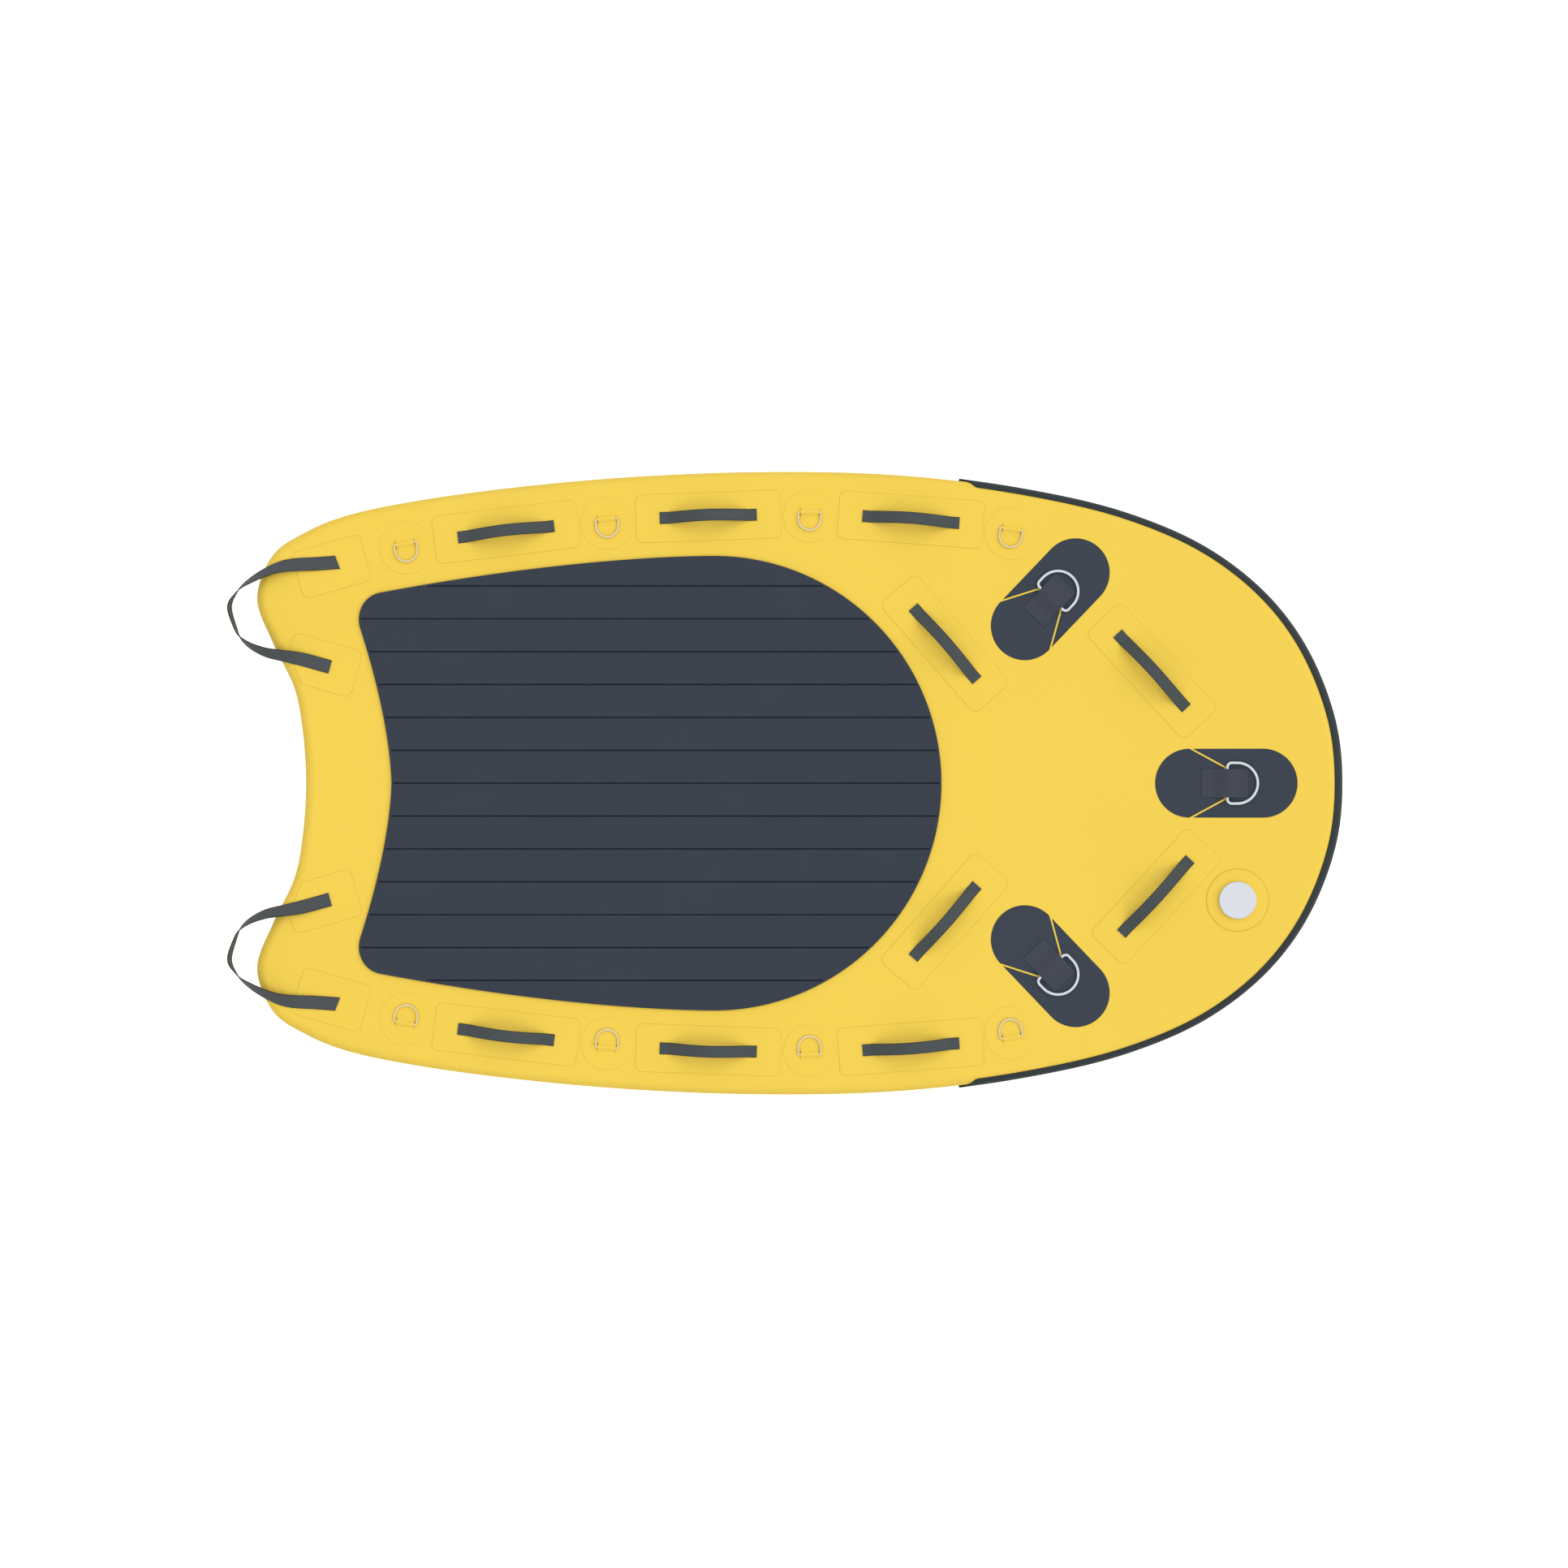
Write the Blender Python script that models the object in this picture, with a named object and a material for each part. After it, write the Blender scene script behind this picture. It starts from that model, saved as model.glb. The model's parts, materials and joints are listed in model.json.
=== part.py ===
"""Inflatable rescue sled, built piece by piece at its real size.

Metres, +Z up. The sled lies on the floor at z = 0, bow towards +X, port side towards +Y, with the
origin under the middle of its overall length. It is drawn flat, and then everything ahead of the
rocker line is rolled up onto a large arc, as the welded hull comes out of its mould.
"""

import math

import bmesh
import bpy
from mathutils import Matrix, Vector

# Hull, blown up
HULL_LENGTH = 2.291             # nose to tail tips, over the side wall
BEAM = 1.320
THICKNESS = 0.150
SIDE_BULGE = 0.013              # how far the side wall swells past the edge of the deck
SKIN = 0.0015                   # coated fabric
SIDE_LAP = 0.025                # side wall's welded lap under the deck and over the bottom
ROCKER_LENGTH = 0.770           # stretch behind the nose that curls up
ROCKER_HEIGHT = 0.045           # how far the nose is lifted
FIT = 0.0003                    # air left between pieces that touch
CUTTER = 0.010                  # how far a cutting shape reaches past what it cuts

# Plan of the hull, port side, from the nose to the middle of the stern:
# share of the length behind the nose, and share of the half beam.
HULL_PLAN = (
    (0.0000, 0.000), (0.0060, 0.198), (0.0310, 0.424), (0.0680, 0.599), (0.1232, 0.750),
    (0.1975, 0.863), (0.2915, 0.940), (0.4047, 0.989), (0.5361, 1.000), (0.6868, 0.976),
    (0.8374, 0.916), (0.9180, 0.859), (0.9540, 0.808), (0.9842, 0.736), (1.0000, 0.592),
    (0.9855, 0.447), (0.9654, 0.300), (0.9580, 0.167), (0.9549, 0.000),
)
HULL_STEPS = 40                 # straight edges along each side of the hull
WALL_STEPS = 6                  # facets up the side wall
TURN_SHARE = 0.153              # a radian of turn gets as many edges as this share of the hull
BEND_STRIP = 0.062              # width of the strips that follow the rocker

# Drop-stitch core
SCRIM = 0.0008                  # woven face of the core
THREAD_ROW = 0.0008
THREAD_PITCH = 0.150            # between the rows that are drawn
CORE_MARGIN = 0.004             # between the core and the side wall's laps

# Bow strake
STRAKE_THICKNESS = 0.004
STRAKE_GLUE = 0.0006            # between the strake and the side wall
STRAKE_HEIGHT = 0.146
STRAKE_START = 0.806            # behind the nose, on both sides
STRAKE_TAPER = 0.035            # its ends narrow over this length
STRAKE_TAPER_STEPS = 5
STRAKE_END_HEIGHT = 0.060

# Grab handles on their patches
HANDLE_LENGTH = 0.204
HANDLE_ARCH = 0.042
HANDLE_FOOT = 0.018
HANDLE_FULLNESS = 1.1           # 1 is a sine curve, and more draws its feet in
HANDLE_STEPS = 12
WEBBING_WIDTH = 0.025
WEBBING = 0.0025
PATCH = 0.0012                  # thickness of every glued patch
HANDLE_PATCH_LENGTH = 0.306
HANDLE_PATCH_WIDTH = 0.102
PATCH_CORNER = 0.015

# Row along each side: a ring, then a handle and a ring for each handle that the side has room for
ROW_MIDDLE = 0.5825             # middle of the row: share of the length behind the nose
ROW_FORE = 0.635                # nothing of the row lies nearer the nose than this
ROW_AFT = 0.255                 # nor nearer the tail tips than this
ROW_INSET = 0.097               # from the side of the hull to the handles
RING_INSET = 0.110              # from the side of the hull to the ring patches
PATCH_SPACING = 0.0040          # between neighbouring patches

# Handles set slantwise on the foredeck: metres behind the nose, share of the half beam, heading
INNER_HANDLES = {
    "port_inner_aft": (0.837, 0.444, -49.6),
    "port_inner_fore": (0.399, 0.357, -46.9),
    "starboard_inner_aft": (0.837, -0.440, 49.0),
    "starboard_inner_fore": (0.391, -0.360, 47.1),
}

# Deck rings
RING_PATCH_DIAMETER = 0.112
RING_WIDTH = 0.052
RING_DEPTH = 0.043
RING_WIRE = 0.005
RING_CORNER = 0.0045
RING_OFFSET = 0.0195            # bar's distance outboard of the middle of its patch
TAB_WIDTH = 0.037
TAB_WINGS = (0.016, 0.013)      # tab's reach outboard and inboard of the bar
TAB = 0.0012
BAR_CLEARANCE = 0.0005          # all round the bar, inside its tunnel
STRAP_ROOT = 0.0004             # straps are let this deep into their patch, to be one solid with it

# Towing rings
TOW_WIDTH = 0.092
TOW_DEPTH = 0.070
TOW_WIRE = 0.007
TOW_CORNER = 0.009
TOW_PATCH_RADIUS = 0.0722
TOW_PATCH_SPAN = 0.155          # between the centres of the patch's round ends
TOW_BAR = 0.080                 # bar ahead of the centre of the aft end
TOW_STRAP_WIDTH = 0.060
TOW_STRAP = 0.002
TOW_STRAP_WINGS = (0.054, 0.044)
TOW_NECK_WIDTH = 0.065
TOW_NECK_GAP = 0.0035           # seam where the deck shows between the patch's two parts
TOW_NECK_END = 0.0068           # aft part stops this far behind the bar
TOW_PLACES = {                  # metres behind the nose, share of the half beam, heading
    "centre": (0.243, 0.0, 0.0),
    "port": (0.6146, 0.5852, 46.0),
    "starboard": (0.6146, -0.5822, -46.0),
}

# Stern loops
LOOP_OVERHANG = 0.0485          # past the tail tips
LOOP_FOOT = 0.178               # ahead of the tail tips
LOOP_HALF_SPREAD = 0.110
LOOP_CENTRE = 0.5477            # share of the half beam
LOOP_WIDTH = 0.0286
LOOP_STEPS = 3                  # straight stretches from one point of the route to the next
# Route of a loop from its outer foot round to its inner foot: share of the way aft, share of the
# half spread (outboard positive), and twist of the webbing in degrees.
LOOP_ROUTE = (
    (0.000, 0.93, 0), (0.199, 0.90, 5), (0.400, 0.88, 15), (0.600, 0.79, 39), (0.803, 0.58, 66),
    (0.939, 0.34, 95), (1.000, 0.01, 110), (0.953, -0.30, 95), (0.868, -0.58, 72),
    (0.671, -0.79, 48), (0.499, -0.86, 33), (0.300, -0.94, 10), (0.070, -1.07, 0),
)
LOOP_PATCH_LENGTH = 0.150
LOOP_PATCH_WIDTH = 0.102
LOOP_PATCH_EDGE = 0.012         # patch is trimmed this far inside the edge of the deck
LOOP_PATCH_TILT = 16.0
LOOP_PATCHES = {                # front edge's middle ahead of the tail tips, offset from the loop
    "outer": (0.237, 0.114),
    "inner": (0.218, -0.134),
}

# Deck pad
PAD_THICKNESS = 0.005
PAD_MARGIN = 0.035              # between the pad and the row of handle patches
PAD_FRONT = 0.845               # pad's front edge behind the nose
PAD_STERN = 0.188               # pad's rear edge ahead of the middle of the stern
PAD_TAIL_INSET = 0.184          # from the side of the hull to the pad's rear corners
PAD_TAIL_SWEEP = 0.087          # rear corners lie this far behind the middle of the rear edge
PAD_CORNER = 0.063
PAD_SIDE_POWER = 1.7            # how late the sides draw in
PAD_REAR_POWER = 1.6
PAD_ARC_STEPS = 14
PAD_SIDE_STEPS = 8
PAD_REAR_STEPS = 6
GROOVE_PITCH = 0.069
GROOVE_WIDTH = 0.003
GROOVE_DEPTH = 0.0025

# Inflation valve
VALVE_PLACE = (0.219, -0.371)   # metres behind the nose, share of the half beam
VALVE_PATCH_DIAMETER = 0.133
CAP_DIAMETER = 0.078
CAP_WALL = 0.0025
CAP_TOP = 0.003
CAP_ROUNDING = 0.003
FLANGE_DIAMETER = 0.071
FLANGE = 0.0040
SEAL = 0.002
SEAL_RADII = (0.0260, 0.0320)
NECK_DIAMETER = 0.052
NECK_BORE = 0.044
NECK_DEPTH = 0.034              # below the underside of the flange
NUT_DIAMETER = 0.068
NUT = 0.006
NUT_ROOM = 0.004                # between the nut and the core, which is cut away round it
SEAT_BORE = 0.034
SEAT = 0.0025
SPIDER = 0.003
SPIDER_DROP = 0.014             # top of the spider below the top of the flange
SPOKE = 0.0035
HUB_DIAMETER = 0.012
STEM_DIAMETER = 0.005
STEM_CLEARANCE = 0.0004
BUTTON_DIAMETER = 0.012
BUTTON = 0.003
BUTTON_DROP = 0.0005            # top of the button below the top of the flange
DISC_DIAMETER = 0.039
DISC = 0.003
VALVE_TRAVEL = 0.005            # how far the button goes down
VALVE_ROOM = 0.012              # free depth left under the disc when it is down
SPRING_WIRE = 0.0009
SPRING_DIAMETER = 0.0092
SPRING_TURNS = 4
VALVE_STEPS = 24
VALVE_CLEARANCE = 0.0005

# Places that follow from the sizes above
NOSE_X = (HULL_LENGTH + LOOP_OVERHANG - STRAKE_THICKNESS) / 2
STERN_X = NOSE_X - HULL_LENGTH
HALF_BEAM = BEAM / 2
ROCKER_X = NOSE_X - ROCKER_LENGTH
ROCKER_RADIUS = (ROCKER_LENGTH ** 2 + ROCKER_HEIGHT ** 2) / (2 * ROCKER_HEIGHT)
DECK = THICKNESS                # height of the deck's upper face
ROW_PITCH = HANDLE_PATCH_LENGTH / 2 + RING_PATCH_DIAMETER / 2 + PATCH_SPACING


def linear(hex_colour):
    """Linear RGBA of an sRGB hex colour."""
    channels = [int(hex_colour[i:i + 2], 16) / 255 for i in (0, 2, 4)]
    return [c / 12.92 if c <= 0.04045 else ((c + 0.055) / 1.055) ** 2.4 for c in channels] + [1.0]


def material(name, hex_colour, roughness, metallic=0.0):
    """Principled material, made once and shared by the pieces that have it."""
    if name in bpy.data.materials:
        return bpy.data.materials[name]
    made = bpy.data.materials.new(name)
    made.use_nodes = True
    shader = made.node_tree.nodes["Principled BSDF"]
    shader.inputs["Base Color"].default_value = linear(hex_colour)
    shader.inputs["Roughness"].default_value = roughness
    shader.inputs["Metallic"].default_value = metallic
    return made


def hull_fabric():
    return material("yellow_coated_fabric", "F6D355", 0.5)


def side_fabric():
    return material("yellow_side_fabric", "EBC850", 0.5)


def core_fabric():
    return material("drop_stitch_yarn", "E8E6DE", 0.9)


def pad_foam():
    return material("dark_grey_foam", "3E4450", 0.85)


def strake_rubber():
    return material("black_rubber", "3F4547", 0.6)


def webbing():
    return material("grey_webbing", "4E5456", 0.8)


def tow_fabric():
    return material("dark_coated_fabric", "404951", 0.55)


def steel():
    return material("polished_steel", "C9CFD6", 0.25, 1.0)


def cap_plastic():
    return material("pale_grey_plastic", "DEE1E9", 0.45)


def valve_plastic():
    return material("grey_plastic", "8E9499", 0.45)


def seal_rubber():
    return material("seal_rubber", "2B2D2F", 0.7)


def place_mesh(name, bm, look, frame=Matrix.Identity(4)):
    """Turns a finished bmesh into an object whose own frame is the one given."""
    bmesh.ops.remove_doubles(bm, verts=bm.verts, dist=1e-6)
    bmesh.ops.recalc_face_normals(bm, faces=bm.faces)
    mesh = bpy.data.meshes.new(name)
    bm.to_mesh(mesh)
    bm.free()
    mesh.shade_smooth()
    mesh.set_sharp_from_angle(angle=math.radians(35))
    mesh.materials.append(look)
    piece = bpy.data.objects.new(name, mesh)
    piece.matrix_world = frame
    bpy.context.scene.collection.objects.link(piece)
    return piece


def combine(base, tool, operation):
    """Boolean of two bmeshes, which it uses up, as a new bmesh."""
    parts = []
    for bm in (base, tool):
        bmesh.ops.recalc_face_normals(bm, faces=bm.faces)
        mesh = bpy.data.meshes.new("shape")
        bm.to_mesh(mesh)
        bm.free()
        part = bpy.data.objects.new("shape", mesh)
        bpy.context.scene.collection.objects.link(part)
        parts.append(part)
    boolean = parts[0].modifiers.new("Boolean", "BOOLEAN")
    boolean.object = parts[1]
    boolean.operation = operation
    boolean.solver = "EXACT"
    depsgraph = bpy.context.evaluated_depsgraph_get()
    result = parts[0].evaluated_get(depsgraph).to_mesh()
    joined = bmesh.new()
    joined.from_mesh(result)
    bmesh.ops.dissolve_degenerate(joined, edges=joined.edges, dist=1e-7)
    for part in parts:
        mesh = part.data
        bpy.data.objects.remove(part)
        bpy.data.meshes.remove(mesh)
    return joined


# Outlines

def smooth_loop(points, steps):
    """Closed curve through the points: a centripetal Catmull-Rom spline, steps points a span."""
    curve = []
    count = len(points)
    for i in range(count):
        p0, p1, p2, p3 = (points[(i + k) % count] for k in (-1, 0, 1, 2))
        t1 = (p1 - p0).length ** 0.5
        t2 = t1 + (p2 - p1).length ** 0.5
        t3 = t2 + (p3 - p2).length ** 0.5
        for step in range(steps):
            t = t1 + (t2 - t1) * step / steps
            a1 = p0.lerp(p1, t / t1)
            a2 = p1.lerp(p2, (t - t1) / (t2 - t1))
            a3 = p2.lerp(p3, (t - t2) / (t3 - t2))
            b1 = a1.lerp(a2, t / t2)
            b2 = a2.lerp(a3, (t - t1) / (t3 - t1))
            curve.append(b1.lerp(b2, (t - t1) / (t2 - t1)))
    return curve


def even_line(line, count, bend_length):
    """The line again as count edges, shorter where it turns: a radian counts as bend_length."""
    reach = [0.0]
    for i in range(1, len(line)):
        edge = line[i] - line[i - 1]
        turn = 0.0
        if i > 1:
            turn = abs((line[i - 1] - line[i - 2]).angle_signed(edge, 0.0))
        reach.append(reach[-1] + edge.length + bend_length * turn)
    even = []
    i = 1
    for step in range(count + 1):
        target = reach[-1] * step / count
        while i < len(line) - 1 and reach[i] < target:
            i += 1
        share = (target - reach[i - 1]) / (reach[i] - reach[i - 1])
        even.append(line[i - 1].lerp(line[i], share))
    return even


def hull_outline():
    """Widest outline of the flat hull, counter-clockwise from the nose."""
    port = [Vector((NOSE_X - along * HULL_LENGTH, out * HALF_BEAM)) for along, out in HULL_PLAN]
    starboard = [Vector((p.x, -p.y)) for p in reversed(port[1:-1])]
    span_steps = 24
    dense = smooth_loop(port + starboard, span_steps)
    port_side = even_line(dense[:(len(port) - 1) * span_steps + 1], HULL_STEPS,
                          TURN_SHARE * HULL_LENGTH)
    return port_side + [Vector((p.x, -p.y)) for p in reversed(port_side[1:-1])]


def miters(line, closed):
    """Outward vector at each point of a counter-clockwise line, long enough to keep its edges apart
    by one metre for each metre of inset."""
    count = len(line)
    vectors = []
    for i in range(count):
        before = line[i] - line[i - 1] if closed or i > 0 else line[1] - line[0]
        after = line[(i + 1) % count] - line[i] if closed or i < count - 1 else before
        n1 = Vector((before.y, -before.x)).normalized()
        n2 = Vector((after.y, -after.x)).normalized()
        vectors.append((n1 + n2) / (1 + n1.dot(n2)))
    return vectors


def moved_out(line, distance, closed=True):
    return [p + m * distance for p, m in zip(line, miters(line, closed))]


def rounded_rectangle(length, width, radius, steps):
    """Outline centred on the origin, counter-clockwise."""
    outline = []
    corners = ((1, 1, 0), (-1, 1, 90), (-1, -1, 180), (1, -1, 270))
    for sx, sy, start in corners:
        centre = Vector((sx * (length / 2 - radius), sy * (width / 2 - radius)))
        outline += arc(centre, radius, start, start + 90, steps)
    return outline


def arc(centre, radius, start, end, steps):
    """Points of an arc between two angles in degrees, both ends included."""
    angles = [math.radians(start + (end - start) * i / steps) for i in range(steps + 1)]
    return [Vector((centre[0] + radius * math.cos(a), centre[1] + radius * math.sin(a)))
            for a in angles]


def circle(diameter, steps):
    return arc((0, 0), diameter / 2, 0, 360, steps)[:-1]


# Solids

def plate(outline, low, high):
    """Flat piece with the outline given, between two heights."""
    bm = bmesh.new()
    face = bm.faces.new([bm.verts.new((p.x, p.y, low)) for p in outline])
    raised = bmesh.ops.extrude_face_region(bm, geom=[face])
    top = [v for v in raised["geom"] if isinstance(v, bmesh.types.BMVert)]
    bmesh.ops.translate(bm, verts=top, vec=(0, 0, high - low))
    return bm


def box(low, high):
    bm = bmesh.new()
    bmesh.ops.create_cube(bm, size=1.0)
    size = Vector(high) - Vector(low)
    bmesh.ops.scale(bm, verts=bm.verts, vec=size)
    bmesh.ops.translate(bm, verts=bm.verts, vec=Vector(low) + size / 2)
    return bm


def lathe(profile, steps):
    """Turned solid of a closed profile of (radius, height) points."""
    bm = bmesh.new()
    ring = [bm.verts.new((r, 0, z)) for r, z in profile]
    for a, b in zip(ring, ring[1:] + ring[:1]):
        bm.edges.new((a, b))
    bmesh.ops.spin(bm, geom=bm.verts[:] + bm.edges[:], cent=(0, 0, 0), axis=(0, 0, 1),
                   angle=math.tau, steps=steps, use_merge=True)
    bmesh.ops.remove_doubles(bm, verts=bm.verts, dist=1e-6)
    bmesh.ops.dissolve_degenerate(bm, edges=bm.edges, dist=1e-7)
    return bm


def skin_rings(rings, closed):
    """Joins rings of points into a tube, with its ends capped if it isn't closed on itself."""
    bm = bmesh.new()
    loops = [[bm.verts.new(p) for p in ring] for ring in rings]
    pairs = list(zip(loops, loops[1:]))
    if closed:
        pairs.append((loops[-1], loops[0]))
    count = len(loops[0])
    for a, b in pairs:
        for k in range(count):
            bm.faces.new((a[k], a[(k + 1) % count], b[(k + 1) % count], b[k]))
    if not closed:
        bm.faces.new(loops[0])
        bm.faces.new(loops[-1])
    return bm


def sweep_sections(line, sections, closed):
    """Sweeps along a line in plan, with a section of (out, height) points for each of its points."""
    rings = [[(p.x + m.x * u, p.y + m.y * u, z) for u, z in section]
             for p, m, section in zip(line, miters(line, closed), sections)]
    return skin_rings(rings, closed)


# Rocker

def rolled(point):
    """Where a point of the flat hull goes once the bow is rolled up."""
    past = point.x - ROCKER_X
    if past <= 0:
        return point.copy()
    angle = past / ROCKER_RADIUS
    radius = ROCKER_RADIUS - (point.z - THICKNESS / 2)
    height = THICKNESS / 2 + ROCKER_RADIUS - radius * math.cos(angle)
    return Vector((ROCKER_X + radius * math.sin(angle), point.y, height))


def roll_up(bm):
    for v in bm.verts:
        v.co = rolled(v.co)
    return bm


def roll_bow(bm):
    """Cuts a flat soft piece into strips ahead of the rocker line and rolls it up."""
    front = max(v.co.x for v in bm.verts)
    strips = math.ceil(max(front - ROCKER_X, 0) / BEND_STRIP)
    for k in range(strips):
        bmesh.ops.bisect_plane(bm, geom=bm.verts[:] + bm.edges[:] + bm.faces[:], dist=1e-6,
                               plane_co=(ROCKER_X + k * BEND_STRIP, 0, 0), plane_no=(1, 0, 0))
    return roll_up(bm)


def flat_frame(x, y, heading):
    """Frame on the flat deck, turned to a heading in degrees."""
    return Matrix.Translation((x, y, DECK)) @ Matrix.Rotation(math.radians(heading), 4, "Z")


def rigid_frame(x, y, heading):
    """The same frame after the bow is rolled up, for pieces that don't bend."""
    angle = max(x - ROCKER_X, 0) / ROCKER_RADIUS
    return (Matrix.Translation(rolled(Vector((x, y, DECK)))) @ Matrix.Rotation(-angle, 4, "Y")
            @ Matrix.Rotation(math.radians(heading), 4, "Z"))


def lay(name, bm, look, frame):
    """Lays a soft piece, drawn on its own flat frame, on the deck."""
    bmesh.ops.transform(bm, matrix=frame, verts=bm.verts)
    return place_mesh(name, roll_bow(bm), look)


def behind_nose(distance, share):
    """Place on the flat deck: metres behind the nose, and share of the half beam."""
    return NOSE_X - distance, share * HALF_BEAM


# Hull

def make_hull(outline):
    """Deck, bottom, side wall and the yarn core that holds deck and bottom flat and parallel."""
    deck_line = moved_out(outline, -SIDE_BULGE)
    valve_x, valve_y = behind_nose(*VALVE_PLACE)
    at_valve = Matrix.Translation((valve_x, valve_y, 0))

    deck = plate(deck_line, DECK - SKIN, DECK)
    neck_hole = plate(circle(NECK_DIAMETER + 2 * VALVE_CLEARANCE, VALVE_STEPS),
                      DECK - CUTTER, DECK + CUTTER)
    bmesh.ops.transform(neck_hole, matrix=at_valve, verts=neck_hole.verts)
    place_mesh("deck_skin", roll_bow(combine(deck, neck_hole, "DIFFERENCE")), hull_fabric())
    place_mesh("bottom_skin", roll_bow(plate(deck_line, 0, SKIN)), hull_fabric())

    wall = sweep_sections(deck_line, [side_wall_section()] * len(deck_line), True)
    place_mesh("side_wall", roll_up(wall), side_fabric())

    core_line = moved_out(deck_line, -SIDE_LAP - CORE_MARGIN)
    low = SKIN + FIT
    high = DECK - SKIN - FIT
    core = plate(core_line, low, low + SCRIM)
    upper = plate(core_line, high - SCRIM, high)
    core = combine(core, upper, "UNION")
    core = combine(core, thread_rows(core_line, low + SCRIM / 2, high - SCRIM / 2), "UNION")
    room_floor = DECK - NECK_DEPTH - DISC - VALVE_TRAVEL - VALVE_ROOM
    nut_room = plate(circle(NUT_DIAMETER + 2 * NUT_ROOM, VALVE_STEPS), room_floor, DECK + CUTTER)
    bmesh.ops.transform(nut_room, matrix=at_valve, verts=nut_room.verts)
    place_mesh("drop_stitch_core", roll_bow(combine(core, nut_room, "DIFFERENCE")), core_fabric())


def wall_arc(step_count, radius_change=0.0, top=None):
    """Side wall's swell as (out from the deck's edge, height) points, bottom to top."""
    half = THICKNESS / 2
    swell = SIDE_BULGE - FIT
    radius = (half ** 2 + swell ** 2) / (2 * swell)
    reach = half if top is None else top
    end = math.degrees(math.asin(reach / (radius + radius_change)))
    points = arc((SIDE_BULGE - radius, half), radius + radius_change, -end, end, step_count)
    return [(p.x, p.y) for p in points]


def side_wall_section():
    """C-shaped section: swelling wall with a lap under the deck and one over the bottom."""
    lap_outer = SKIN + FIT
    lap_inner = lap_outer + SKIN
    outer = wall_arc(WALL_STEPS)
    inner = wall_arc(WALL_STEPS - 2, -SKIN, THICKNESS / 2 - lap_inner)
    upper = [(FIT, DECK - lap_outer), (-SIDE_LAP, DECK - lap_outer), (-SIDE_LAP, DECK - lap_inner)]
    lower = [(-SIDE_LAP, lap_inner), (-SIDE_LAP, lap_outer), (FIT, lap_outer)]
    return outer + upper + list(reversed(inner)) + lower


def thread_rows(line, low, high):
    """Rows of stitching yarn across the hull, each drawn as one thin web."""
    rows = bmesh.new()
    aft = min(p.x for p in line)
    fore = max(p.x for p in line)
    count = int((fore - aft) / THREAD_PITCH)
    start = (fore + aft - (count - 1) * THREAD_PITCH) / 2
    for row in range(count):
        x = start + row * THREAD_PITCH
        for inner, outer in spans_across(line, x):
            web = box((x - THREAD_ROW / 2, inner, low), (x + THREAD_ROW / 2, outer, high))
            shape = bpy.data.meshes.new("row")
            web.to_mesh(shape)
            web.free()
            rows.from_mesh(shape)
            bpy.data.meshes.remove(shape)
    return rows


def spans_across(line, x):
    """Stretches of a line's inside that a crosswise row at x passes over, drawn in at the ends."""
    crossings = []
    for a, b in zip(line, line[1:] + line[:1]):
        if (a.x - x) * (b.x - x) < 0:
            crossings.append(a.y + (b.y - a.y) * (x - a.x) / (b.x - a.x))
    crossings.sort()
    spans = zip(crossings[::2], crossings[1::2])
    return [(a + SIDE_LAP, b - SIDE_LAP) for a, b in spans if b - a > 4 * SIDE_LAP]


def make_strake(outline):
    """Rubber rubbing strake round the bow, bonded over nearly all of the side wall."""
    deck_line = moved_out(outline, -SIDE_BULGE)
    full_start = NOSE_X - STRAKE_START + STRAKE_TAPER
    port = [p for p in deck_line if p.y >= 0 and p.x > full_start + STRAKE_TAPER / 2]
    last = deck_line[len(port)]
    aft = (last - port[-1]).normalized()
    shoulder = port[-1] + aft * (full_start - port[-1].x) / aft.x
    end = shoulder - aft * STRAKE_TAPER / aft.x
    steps = STRAKE_TAPER_STEPS
    tapering = [strake_section(STRAKE_HEIGHT + (STRAKE_END_HEIGHT - STRAKE_HEIGHT) * i / steps)
                for i in range(steps + 1)]
    full = [strake_section(STRAKE_HEIGHT)] * (2 * len(port) - 1)
    port += [shoulder.lerp(end, i / steps) for i in range(steps + 1)]
    line = [Vector((p.x, -p.y)) for p in reversed(port[1:])] + port
    sections = tapering[::-1] + full + tapering
    place_mesh("bow_strake", roll_up(sweep_sections(line, sections, False)), strake_rubber())


def strake_section(height):
    """Band over the side wall, with a bevelled upper and lower edge."""
    half = height / 2
    inner = wall_arc(WALL_STEPS, STRAKE_GLUE, half)
    outer = wall_arc(WALL_STEPS, STRAKE_GLUE + STRAKE_THICKNESS, half - STRAKE_THICKNESS / 2)
    return outer + list(reversed(inner))


# Webbing

def ribbon(centres, ups, width, thickness):
    """Strap along a line of points, its broad face square to the ups given for them."""
    rings = []
    count = len(centres)
    for i, (centre, up) in enumerate(zip(centres, ups)):
        along = (centres[min(i + 1, count - 1)] - centres[max(i - 1, 0)]).normalized()
        side = up.cross(along).normalized() * width / 2
        rise = along.cross(side).normalized() * thickness / 2
        rings.append([centre + side + rise, centre - side + rise, centre - side - rise,
                      centre + side - rise])
    return skin_rings(rings, False)


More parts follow.
